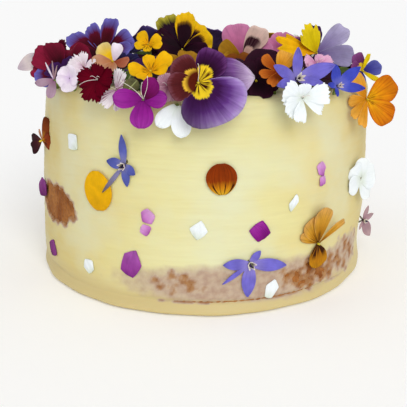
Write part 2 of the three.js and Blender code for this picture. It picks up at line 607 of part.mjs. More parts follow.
// Flowers and large petals on the side: azimuth and height in place of a centre. Those
// that turn off the wall, or stand out from it, were not pressed flat.
const onWall = (made) => (name, size, azimuth, z, roll, tint, more = {}) => {
  const lying = { cup: 0.02, ruffle: 0, throat: 0, thickness: PRESSED_THICKNESS };
  const flower = made(name, size, [], [more.faces ?? azimuth, 0], roll, tint, {
    ...lying,
    pressed: true,
    ...more,
  });
  const clear = more.out ?? WALL_GAP + PRESSED_THICKNESS / 2;
  return { ...flower, azimuth, at: onSide(azimuth, z, clear) };
};
const PRESSED = [
  onWall(viola)("side_left", 20, -69, 61, 0, 0x9a4a10, {
    faces: -50,
    out: 2,
    petals: [[12, 22, 0.6], [258, 26, 0.58], [310, 16, 0.3]],
  }),
  onWall(borage)("side_left", 24, -23.7, 60.8, 0, 0x5560bc, {
    petals: [[358, 8, 0.51], [120, 18, 0.25], [170, 12, 0.35], [220, 3.5, 0.66], [278, 16, 0.32]],
  }),
  onWall(petal)("yellow_side", 12.4, -33, 48.6, 6, 0xf0b60e, { tall: 17 }),
  onWall(petal)("amber_side", 12, 5.1, 57.2, 4, 0xb04e08, { tall: 12.6 }),
  onWall(borage)("side_front", 27, 13.9, 22, 0, 0x5d63c6, {
    petals: [[36, 14, 0.25], [98, 10, 0.58], [184, 12, 0.52], [236, 4, 0.51], [272, 12, 0.41]],
  }),
  onWall(viola)("side_gold", 25, 37.4, 25.8, 0, 0xc9860f, {
    petals: [[24, 26, 0.58], [64, 10, 0.64], [172, 58, 0.44], [296, 20, 0.4], [350, 30, 0.58]],
  }),
  onWall(phlox)("white_side", 18, 59, 48, 0, 0xeef0e8, {
    faces: 42,
    out: 2.8,
    petals: [[6, 28, 0.5], [92, 28, 0.62], [138, 24, 0.66], [244, 28, 0.5], [310, 28, 0.48]],
  }),
  onWall(borage)("mauve_side", 17, 79, 19.8, 0, 0xc08aa4, {
    faces: 38,
    out: 1.8,
    petals: [[20, 12, 0.44], [72, 12, 0.42], [148, 16, 0.62], [220, 10, 0.3]],
  }),
  onWall(petal)("violet_side", 12, 112, 57, -20, 0x6b3a98, { tall: 14 }),
  onWall(borage)("side_back", 25, 152, 42, 30, 0x5a62c2),
  onWall(viola)("side_back", 21, -172, 27, -20, 0xd2920f),
  onWall(petal)("yellow_back", 12, -128, 44, -25, 0xf0b60e, { tall: 16 }),
];

const cake = new THREE.Group();
const material = (tint, roughness) =>
  new THREE.MeshStandardMaterial({ color: tint, roughness, metalness: 0 });
function addMesh(name, solid, tint, roughness, matrix) {
  const mesh = new THREE.Mesh(geometryFrom(solid), material(tint, roughness));
  mesh.name = name;
  if (matrix) matrix.decompose(mesh.position, mesh.quaternion, mesh.scale);
  cake.add(mesh);
}

const flecks = [...FLECKS, ...backFlecks(PRESSED)].map(fleckSolid);
const coat = union([coatOutside(0), ...flecks]).subtract(spongeSolid(GAP, BARE_CUT));
addMesh("sponge", spongeSolid(0, 0), 0xb07a52, 0.9);
addMesh("buttercream", largestBody(coat), 0xf0e6ae, 0.55);

// Each flower gives way to the coat and to the flowers placed before it.
const coatReach = coatOutside(GAP);
const placed = [];
for (const flower of [...BANK, ...PRESSED]) {
  const matrix = faceMatrix(flower);
  const inCake = (solid) => solid.transform(matrix.elements);
  let solid = inCake(flowerSolid(flower, 0));
  solid = solid.subtract(coatReach);
  for (const other of placed) solid = solid.subtract(other);
  placed.push(inCake(flowerSolid(flower, GAP)));
  const local = largestBody(solid).transform(matrix.clone().invert().elements);
  addMesh(flower.name, local, flower.tint, 0.6, matrix);
}

export default cake;
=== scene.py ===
"""A small buttercream cake under a bank of fresh edible flowers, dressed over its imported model.

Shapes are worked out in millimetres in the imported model's frame: +Z is up, the front is -Y,
and an azimuth is 0 at the front and 90 at +X. A mesh becomes metres only as it is made.
"""

import json
import logging
import math
from collections.abc import Callable, Iterable, Iterator
from dataclasses import dataclass, field, replace
from enum import Enum
from functools import cache, partial

import bpy
import numpy as np
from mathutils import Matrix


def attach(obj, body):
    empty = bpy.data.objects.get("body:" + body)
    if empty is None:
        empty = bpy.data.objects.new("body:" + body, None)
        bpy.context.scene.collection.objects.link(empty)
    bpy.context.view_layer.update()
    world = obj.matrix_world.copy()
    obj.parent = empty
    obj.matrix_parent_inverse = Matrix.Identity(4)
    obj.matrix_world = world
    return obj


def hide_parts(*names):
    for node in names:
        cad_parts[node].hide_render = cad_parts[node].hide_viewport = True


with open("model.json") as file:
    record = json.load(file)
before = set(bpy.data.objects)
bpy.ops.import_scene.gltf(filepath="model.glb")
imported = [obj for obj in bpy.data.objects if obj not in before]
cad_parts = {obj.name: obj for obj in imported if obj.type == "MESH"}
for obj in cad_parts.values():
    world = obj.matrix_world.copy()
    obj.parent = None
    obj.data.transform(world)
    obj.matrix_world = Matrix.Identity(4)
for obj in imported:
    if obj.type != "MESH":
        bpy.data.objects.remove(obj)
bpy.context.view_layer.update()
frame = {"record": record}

log = logging.getLogger("flower_cake")
Array = np.ndarray

MM = 0.001

# Sizes in mm: the cake, its coat, where the coat's rim begins, and the sponge's chamfer
CAKE_RADIUS = 77.0
CAKE_HEIGHT = 88.0
SIDE_COAT = 3.0
TOP_COAT = 5.0
RIM_START = 83.0
CHAMFER = 3.0

# Curves, noise and places on the cake


def smoothstep(value: Array, low: float, high: float) -> Array:
    """Rises from 0 at low to 1 at high along 3t^2 - 2t^3."""
    t = np.clip((value - low) / (high - low), 0, 1)
    return t * t * (3 - 2 * t)


def bell(value: Array, middle: float, half: float, power: int = 2) -> Array:
    """A hump, 1 at its middle, that falls off as e to the minus (distance / half)^power."""
    return np.exp(-(((value - middle) / half) ** power))


def ragged(across: Array, up: Array, grain: float, seed: float) -> Array:
    """Smooth uneven values of about -1 to 1: seven crossed waves.

    Each wave is 1.37 times as fine and 0.75 times as strong as the last one.

    Args:
        across: Place along the surface, in mm.
        up: Place up the surface, in mm.
        grain: Length of the coarsest wave, in mm.
        seed: Turns the waves and shifts their phases.

    Returns:
        The sum of the waves at each place.
    """
    total = np.zeros(np.broadcast(across, up).shape)
    for i in range(7):
        angle = 2.4 * i + seed
        rate = 2 * math.pi / grain * 1.37**i
        along = across * math.cos(angle) + up * math.sin(angle)
        total += 0.75**i * np.sin(rate * along + 1.7 * i * i + 3.1 * seed)
    return total / 2.4


def all_round(count: int) -> Array:
    """That many azimuths evenly round the cake, as one row."""
    return np.linspace(-180, 180, count, endpoint=False)[None, :]


def wrapped(azimuth: Array) -> Array:
    """The same azimuth, between -180 and 180 degrees."""
    return (azimuth + 540) % 360 - 180


def in_front(azimuth: Array) -> Array:
    """1 up to 100 degrees either side of the front, easing to 0 by 150 degrees."""
    return 1 - smoothstep(np.abs(azimuth), 100, 150)


def round_axis(azimuth: Array, radius: Array, z: Array) -> Array:
    """The points at that azimuth, that far from the cake's axis and at that height."""
    turn = np.radians(azimuth)
    return np.stack(np.broadcast_arrays(radius * np.sin(turn), -radius * np.cos(turn), z), axis=-1)


def side_sway(azimuth: Array, z: Array) -> Array:
    """The side's slow departure from a true cylinder.

    The spatula left two slow waves round the cake. Above 30 mm the side also draws in
    toward the top, by 1 mm all round and by 3.4 mm more on the left.

    Args:
        azimuth: Places round the cake, in degrees.
        z: Their heights, in mm.

    Returns:
        How far the side stands out there, in mm.
    """
    turn = np.radians(azimuth)
    waves = 0.22 * np.sin(3 * turn + 0.7) + 0.16 * np.sin(7 * turn + z / 11)
    high = np.clip((z - 30) / (CAKE_HEIGHT - 30), 0, 1) ** 1.3
    return waves - high * (1 + 3.4 * np.clip(-np.sin(turn), 0, 1) ** 2)


def side_relief(azimuth: Array, z: Array) -> Array:
    """How far the front half of the coat stands out of the swayed side.

    On the right it swells by 0.6 mm about 40 mm up and draws in by 0.9 mm below that. On
    the left it stands straighter down to the foot, by 0.9 mm.

    Args:
        azimuth: Places round the cake, in degrees.
        z: Their heights, in mm.

    Returns:
        The relief there, in mm.
    """
    swell = 0.6 * smoothstep(azimuth, 30, 75) * bell(z, 40, 14)
    dent = 0.9 * smoothstep(azimuth, 20, 60) * bell(z, 14, 9)
    straight = 0.9 * smoothstep(-azimuth, 40, 75) * bell(z, 12, 16)
    return (swell - dent + straight) * in_front(azimuth)


def on_side(azimuth: Array, z: Array, out: Array) -> Array:
    """The point on the side at that azimuth and height, standing out by that much."""
    return round_axis(azimuth, CAKE_RADIUS + side_sway(azimuth, z) + out, z)


@dataclass(frozen=True)
class BarePatch:
    """An oval, in degrees and mm, where the scraper went through that share of the coat."""

    azimuth: float
    z: float
    wide: float
    high: float
    open_share: float = 1.0

    def depth(self, azimuth: Array, z: Array) -> Array:
        """1 at the patch's middle, 0 on its oval and less outside, as 1 - x^2 - y^2."""
        across = wrapped(azimuth - self.azimuth) / self.wide
        return 1 - across**2 - ((z - self.z) / self.high) ** 2


BARE_PATCHES = (
    BarePatch(-7, 14, 9, 5, 0.27),
    BarePatch(37, 12.5, 14, 6.5, 0.46),
    BarePatch(55, 15, 12, 8.5, 0.29),
    BarePatch(-58.5, 36, 13, 8.2),
    BarePatch(128, 13, 24, 6.5, 0.8),
    BarePatch(-148, 56, 9, 8),
    BarePatch(-122, 13, 15, 6, 0.7),
)
THIN_PLACES = BARE_PATCHES + (BarePatch(16, 13, 42, 9, 0.5),)


def bare_depth(patches: Iterable[BarePatch], azimuth: Array, z: Array) -> Array:
    """The depth in the nearest of the patches."""
    return np.max([patch.depth(azimuth, z) for patch in patches], axis=0)


# Closed surfaces


def sheet_faces(rows: int, columns: int) -> tuple[Array, Array]:
    """Quads of a closed sheet: its face, its back and the narrow rim between them.

    Args:
        rows: Points along the sheet.
        columns: Points across it.

    Returns:
        The quads, and for each quad 1 on the back and 0 elsewhere.
    """
    index = np.arange(rows * columns).reshape(rows, columns)
    under = rows * columns
    corners = [index[:-1, :-1], index[:-1, 1:], index[1:, 1:], index[1:, :-1]]
    face = np.stack(corners, axis=-1).reshape(-1, 4)
    loop = np.concatenate([index[0, :-1], index[:-1, -1], index[-1, :0:-1], index[:0:-1, 0]])
    after = np.roll(loop, -1)
    rim = np.stack([after, loop, loop + under, after + under], axis=-1)
    on_back = np.repeat([0.0, 1.0, 0.0], [len(face), len(face), len(rim)])
    return np.concatenate([face, face[:, ::-1] + under, rim]), on_back


def ring_faces(index: Array) -> Array:
    """Quads from each ring of points to the next, as (rings - 1, columns, 4)."""
    after = np.roll(index, -1, axis=1)
    return np.stack([index[:-1], after[:-1], after[1:], index[1:]], axis=-1)


@dataclass
class Mesher:
    """Gathers closed surfaces in millimetres and makes one object of them in metres."""

    points: list[Array] = field(default_factory=list)
    faces: list[list[int]] = field(default_factory=list)
    places: list[Array] = field(default_factory=list)
    reach: list[Array] = field(default_factory=list)
    shade: list[Array] = field(default_factory=list)
    on_back: list[Array] = field(default_factory=list)
    finish: list[Array] = field(default_factory=list)
    count: int = 0

    def keep(self, points: Array, places: Array, reach: Array, shade: Array) -> int:
        """Adds points, and what the materials read at each.

        Args:
            points: The points, in mm.
            places: Where each lies across and along its surface, from 0 to 1.
            reach: Its distance from the flower's centre, in mm.
            shade: A value of its own for the material.

        Returns:
            The first point's number.
        """
        start = self.count
        self.points.append(points.reshape(-1, 3))
        self.places.append(places.reshape(-1, 2))
        self.reach.append(reach.reshape(-1))
        self.shade.append(shade.reshape(-1))
        self.count += self.points[-1].shape[0]
        return start

    def join(self, faces: list[list[int]], finish: int, on_back: float | Array = 0.0) -> None:
        """Adds faces between points that are kept.

        Args:
            faces: The numbers of each face's points.
            finish: Which of the object's materials they have.
            on_back: 1 for a face on a sheet's back and 0 for others.
        """
        self.faces.extend(faces)
        self.on_back.append(np.broadcast_to(on_back, len(faces)))
        self.finish.append(np.full(len(faces), finish))

    def sheet(
        self, face: Array, thickness: float | Array, across: Array, along: Array,
        reach: float | Array, shade: float, finish: int,
    ) -> None:
        """Adds a closed thin sheet, half its thickness before and behind its middle.

        Args:
            face: Points of its middle, as (rows, columns, 3).
            thickness: Its thickness, in mm.
            across: Where each column lies, from -1 to 1.
            along: Where each row lies, from 0 to 1.
            reach: Distance of each point from the flower's centre, in mm.
            shade: A value for the material, so that no two petals have the same veins.
            finish: Which of the object's materials it has.
        """
        size = face.shape[:2]
        normal = np.cross(np.gradient(face, axis=1), np.gradient(face, axis=0))
        normal /= np.maximum(np.linalg.norm(normal, axis=-1, keepdims=True), 1e-9)
        half = normal * np.broadcast_to(thickness, size)[..., None] / 2
        place = np.stack(np.broadcast_arrays((across + 1) / 2, along), axis=-1)
        reach = np.broadcast_to(reach, (2, *size))
        sides = np.stack([face + half, face - half])
        start = self.keep(sides, np.stack([place, place]), reach, np.full((2, *size), shade))
        quads, on_back = sheet_faces(*size)
        self.join((quads + start).tolist(), finish, on_back)

    def turned(self, rings: Array, shade: float | Array, finish: int) -> None:
        """Adds a closed body of rings, with a point over its first and its last ring.

        Args:
            rings: The rings' points, as (rings, columns, 3), counterclockwise seen from
                the last ring's end.
            shade: A value for the material, one for the body or one for each ring point.
            finish: Which of the object's materials it has.
        """
        rows, columns, _ = rings.shape
        ends = np.stack([rings[0].mean(axis=0), rings[-1].mean(axis=0)])
        v, u = np.meshgrid(np.linspace(0, 1, rows), np.arange(columns) / columns, indexing="ij")
        shades = np.broadcast_to(shade, (rows, columns))
        start = self.keep(
            np.concatenate([rings.reshape(-1, 3), ends]),
            np.concatenate([np.stack([u, v], axis=-1).reshape(-1, 2), [[0, 0], [0, 1]]]),
            np.zeros(rows * columns + 2),
            np.concatenate([shades.reshape(-1), shades[[0, -1]].mean(axis=1)]),
        )
        index = np.arange(rows * columns).reshape(rows, columns) + start
        first, last = index[0], index[-1]
        middle = np.full(columns, start + rows * columns)
        under = np.stack([middle, np.roll(first, -1), first], axis=-1)
        over = np.stack([middle + 1, last, np.roll(last, -1)], axis=-1)
        quads = ring_faces(index).reshape(-1, 4)
        self.join(quads.tolist() + under.tolist() + over.tolist(), finish)

    def piece(self, name: str, materials: list[bpy.types.Material]) -> bpy.types.Object:
        """Makes the object, smooth, at the origin.

        Args:
            name: The piece's name.
            materials: Its materials, in the order that the finishes number them.

        Returns:
            The object, with the places as its UV map and the rest as attributes.
        """
        mesh = bpy.data.meshes.new(name)
        mesh.from_pydata(np.concatenate(self.points) * MM, [], self.faces)
        corners = np.empty(len(mesh.loops), dtype=np.int32)
        mesh.loops.foreach_get("vertex_index", corners)
        uv = mesh.uv_layers.new(name="place")
        uv.data.foreach_set("uv", np.concatenate(self.places)[corners].ravel())
        for label, domain, values in (
            ("reach", "POINT", self.reach),
            ("shade", "POINT", self.shade),
            ("on_back", "FACE", self.on_back),
        ):
            attribute = mesh.attributes.new(label, "FLOAT", domain)
            attribute.data.foreach_set("value", np.concatenate(values).astype(np.float32))
        mesh.polygons.foreach_set("material_index", np.concatenate(self.finish).astype(np.int32))
        for material in materials:
            mesh.materials.append(material)
        mesh.shade_smooth()
        mesh.validate()
        mesh.update()
        piece = bpy.data.objects.new(name, mesh)
        bpy.context.scene.collection.objects.link(piece)
        return piece


def tube(path: Array, radii: Array, sides: int = 8) -> Array:
    """Rings round a path: each is a circle square to the path's direction there.

    Args:
        path: Points along the middle, as (rings, 3).
        radii: The radius at each of them.
        sides: Points in a ring.

    Returns:
        The rings' points, as (rings, sides, 3).
    """
    along = np.gradient(path, axis=0)
    along /= np.linalg.norm(along, axis=1, keepdims=True)
    spare = np.where(np.abs(along[:, 2:]) > 0.9, [[1.0, 0, 0]], [[0, 0, 1.0]])
    right = np.cross(spare, along)
    right /= np.linalg.norm(right, axis=1, keepdims=True)
    up = np.cross(along, right)
    turn = 2 * np.pi * np.arange(sides) / sides
    ring = right[:, None] * np.cos(turn)[None, :, None] + up[:, None] * np.sin(turn)[None, :, None]
    return path[:, None] + ring * np.asarray(radii)[:, None, None]


# Materials

NodeAdder = Callable[..., bpy.types.Node]
Source = bpy.types.Node | bpy.types.NodeSocket | tuple


def linear(colour: str) -> tuple[float, float, float, float]:
    """Turns an sRGB hex colour such as "f2e6b0" into linear red, green, blue and 1."""
    channels = (int(colour[i : i + 2], 16) / 255 for i in (0, 2, 4))
    return (*(c / 12.92 if c <= 0.04045 else ((c + 0.055) / 1.055) ** 2.4 for c in channels), 1.0)


def per_metre(size: float) -> float:
    """The scale of a pattern on Object coordinates that repeats at that size in mm."""
    return 1 / (size * MM)


def add_node(
    tree: bpy.types.NodeTree, kind: str, inputs: dict | None = None, **settings: object
) -> bpy.types.Node:
    """Adds a node, with its settings, and links or sets its inputs.

    Args:
        tree: The material's nodes.
        kind: The node's type, without its usual first word, such as "Math".
        inputs: For each input's name or number, a value, a socket to link to it, or a
            node whose first output in use is linked to it.
        settings: Values of the node's own properties.

    Returns:
        The node.
    """
    node = tree.nodes.new(f"ShaderNode{kind}")
    for key, value in settings.items():
        setattr(node, key, value)
    for key, value in (inputs or {}).items():
        if isinstance(value, bpy.types.Node):
            value = next(socket for socket in value.outputs if socket.enabled)
        if isinstance(value, bpy.types.NodeSocket):
            tree.links.new(value, node.inputs[key])
        else:
            node.inputs[key].default_value = value
    return node


def new_material(
    name: str, *labels: str
) -> tuple[bpy.types.Material, NodeAdder, *tuple[Source, ...]]:
    """Starts an empty material.

    Args:
        name: Its name.
        labels: The mesh attributes that it reads.

    Returns:
        The material, what adds nodes to it, and each attribute's value.
    """
    material = bpy.data.materials.new(name)
    material.use_nodes = True
    material.node_tree.nodes.clear()
    node = partial(add_node, material.node_tree)
    values = (node("Attribute", attribute_name=label).outputs["Fac"] for label in labels)
    return material, node, *values


def set_stops(ramp: bpy.types.Node, stops: tuple[tuple[float, str], ...]) -> None:
    """Gives a colour ramp its stops.

    Args:
        ramp: The ramp.
        stops: The position and hex colour of each, from left to right.
    """
    elements = ramp.color_ramp.elements
    for i, (position, colour) in enumerate(stops):
        stop = elements[i] if i < 2 else elements.new(position)
        stop.position = position
        stop.color = linear(colour)


def layered(node: NodeAdder, colour: Source, *layers: tuple[Source, str | Source]) -> Source:
    """Lays colours over one another.

    Args:
        node: Adds nodes to the material.
        colour: The lowest colour.
        layers: The share of each further colour, and its hex value or its node.

    Returns:
        The colour that shows.
    """
    for share, over in layers:
        over = linear(over) if isinstance(over, str) else over
        colour = node("Mix", {0: share, 6: colour, 7: over}, data_type="RGBA")
    return colour


def skin(
    node: NodeAdder, colour: Source, height: Source, relief: tuple[float, float],
    roughness: float, specular: float, **more: object,
) -> Source:
    """A surface of that colour and gloss, with a fine relief.

    Args:
        node: Adds nodes to the material.
        colour: Its colour.
        height: What its relief follows.
        relief: How strongly the relief is lit, from 0 to 1, and its height in mm.
        roughness: From 0, a mirror, to 1, quite matt.
        specular: How much light its very surface sends back.
        more: Other inputs of the surface's shader.

    Returns:
        The surface.
    """
    bump = node("Bump", {"Strength": relief[0], "Distance": relief[1] * MM, "Height": height})
    inputs = {"Base Color": colour, "Roughness": roughness, "Specular IOR Level": specular}
    return node("BsdfPrincipled", {**inputs, "Normal": bump, **more})


@dataclass(frozen=True)
class PetalFinish:
    """Living petal: matt skin over watery tissue, so light also comes through it.

    Its bands of colour run from the flower's throat to its rim, and its fine streaks run
    the same way, as veins do. Gaps between streaks are real ones, in mm, on a petal 12 mm
    wide. A flank is another colour on one side of the petal. An eye is a lobe of another
    colour round the throat, and whiskers are dark lines on it.
    """

    name: str
    bands: tuple[tuple[float, str], ...]
    reverse: str
    vein: str = ""
    vein_share: float = 0.25
    vein_gap: float = 0.46
    eye: str = ""
    eye_reach: float = 0.0
    flank: str = ""
    flank_from: float = 0.35
    whisker: str = ""
    whisker_reach: float = 0.0
    whisker_gap: float = 0.86
    whisker_share: float = 0.45
    wander: float = 0.25
    roughness: float = 0.6
    mottle: float = 0.13
    specular: float = 0.07
    through: float = 0.22
    usual_width: float = 12.0

    def material(self) -> bpy.types.Material:
        """Builds the bands, veins, eye and whiskers from the petal's own coordinates.

        Returns:
            The material.
        """
        material, node, reach, shade, on_back = new_material(self.name, "reach", "shade", "on_back")
        split = node("SeparateXYZ", {0: node("UVMap", uv_map="place")})
        across, out = split.outputs[0], split.outputs[1]
        streaks = partial(self._streaks, node, across, out, shade)
        fine = streaks(0.6 * self.vein_gap, 0.7)
        centred = node("Math", {0: streaks(self.vein_gap, 1.3), 1: 0.5}, operation="SUBTRACT")
        place = node("Math", {0: centred, 1: self.wander, 2: out}, operation="MULTIPLY_ADD")
        bands = node("ValToRGB", {0: place})
        set_stops(bands, self.bands)
        layers = []
        if self.vein:
            lines = node("MapRange", {0: fine, 1: 0.5, 2: 0.66, 3: 0.0, 4: self.vein_share})
            layers.append((lines, self.vein))
        if self.flank:
            ends = 0.55 * self.flank_from + 0.6
            side = node("MapRange", {0: across, 1: self.flank_from, 2: ends, 3: 0.0, 4: 0.85})
            layers.append((side, self.flank))
        if self.eye:
            layers.append((self._eye(node, across, reach, centred), self.eye))
        if self.whisker:
            near = node("MapRange", {0: reach, 1: self.whisker_reach, 2: 0.7 * self.whisker_reach})
            edge = 1 - self.whisker_share
            span = {0: streaks(self.whisker_gap, 0.5), 1: edge - 0.03, 2: edge + 0.03}
            drawn = {0: near, 1: node("MapRange", span)}
            layers.append((node("Math", drawn, operation="MULTIPLY"), self.whisker))
        behind = node("Math", {0: on_back, 1: 0.85}, operation="MULTIPLY")
        colour = layered(node, bands, *layers, (behind, self.reverse))
        object_place = node("TexCoord").outputs["Object"]
        mottle = node("TexNoise", {"Vector": object_place, "Scale": per_metre(3.8), "Detail": 3.0})
        span = {0: mottle, 1: 0.3, 2: 0.7, 3: 1 - self.mottle, 4: 1 + 0.9 * self.mottle}
        lit = node("HueSaturation", {"Value": node("MapRange", span), "Color": colour})
        front = skin(node, lit, fine, (0.35, 0.2), self.roughness, self.specular)
        glow = node("BsdfTranslucent", {"Color": lit})
        both = node("MixShader", {0: self.through, 1: front, 2: glow})
        node("OutputMaterial", {"Surface": both})
        return material

    def _eye(self, node: NodeAdder, across: Source, reach: Source, flame: Source) -> Source:
        """Marks the eye.

        It ends where reach + 1.4 |across - 0.5|^2 eye - 0.35 flame eye passes the eye's
        reach, so each petal has a round lobe of it with a slightly ragged edge.

        Args:
            node: Adds nodes to the material.
            across: Place across the petal, from 0 to 1.
            reach: Distance from the flower's centre, in mm.
            flame: Streaks, from -0.5 to 0.5.

        Returns:
            The eye's share, 1 inside it and 0 outside.
        """
        side = node("Math", {0: across, 1: 0.5}, operation="SUBTRACT")
        square = node("Math", {0: side, 1: side}, operation="MULTIPLY")
        edge = reach
        for value, rate in ((square, 1.4), (flame, -0.35)):
            inputs = {0: value, 1: rate * self.eye_reach, 2: edge}
            edge = node("Math", inputs, operation="MULTIPLY_ADD")
        return node("MapRange", {0: edge, 1: 1.04 * self.eye_reach, 2: 0.94 * self.eye_reach})

    def _streaks(
        self, node: NodeAdder, across: Source, out: Source, shade: Source, gap: float, along: float
    ) -> Source:
        """Noise that is drawn out along the petal.

        Args:
            node: Adds nodes to the material.
            across: Place across the petal, from 0 to 1.
            out: Place along it, from 0 to 1.
            shade: The petal's own value, which picks another part of the noise.
            gap: Distance between streaks, in mm.
            along: How often they break up along the petal.

        Returns:
            The streaks, from 0 to 1.
        """
        rates = ((across, self.usual_width / gap), (out, along), (shade, 9.0))
        scaled = (node("Math", {0: value, 1: rate}, operation="MULTIPLY") for value, rate in rates)
        place = node("CombineXYZ", dict(enumerate(scaled)))
        return node("TexNoise", {"Vector": place, "Scale": 1.0, "Detail": 2.0})


def plain(name: str, bands: str, vein: str, reverse: str, **more: object) -> PetalFinish:
    """A petal finish of three bands.

    Args:
        name: What petal it is.
        bands: The hex colours of its throat, middle and rim.
        vein: The colour of its veins.
        reverse: The colour of its back.
        more: Other fields of the finish.

    Returns:
        The finish.
    """
    stops = tuple(zip((0.0, 0.45, 1.0), bands.split()))
    return PetalFinish(f"petal {name}", stops, reverse, vein, **more)


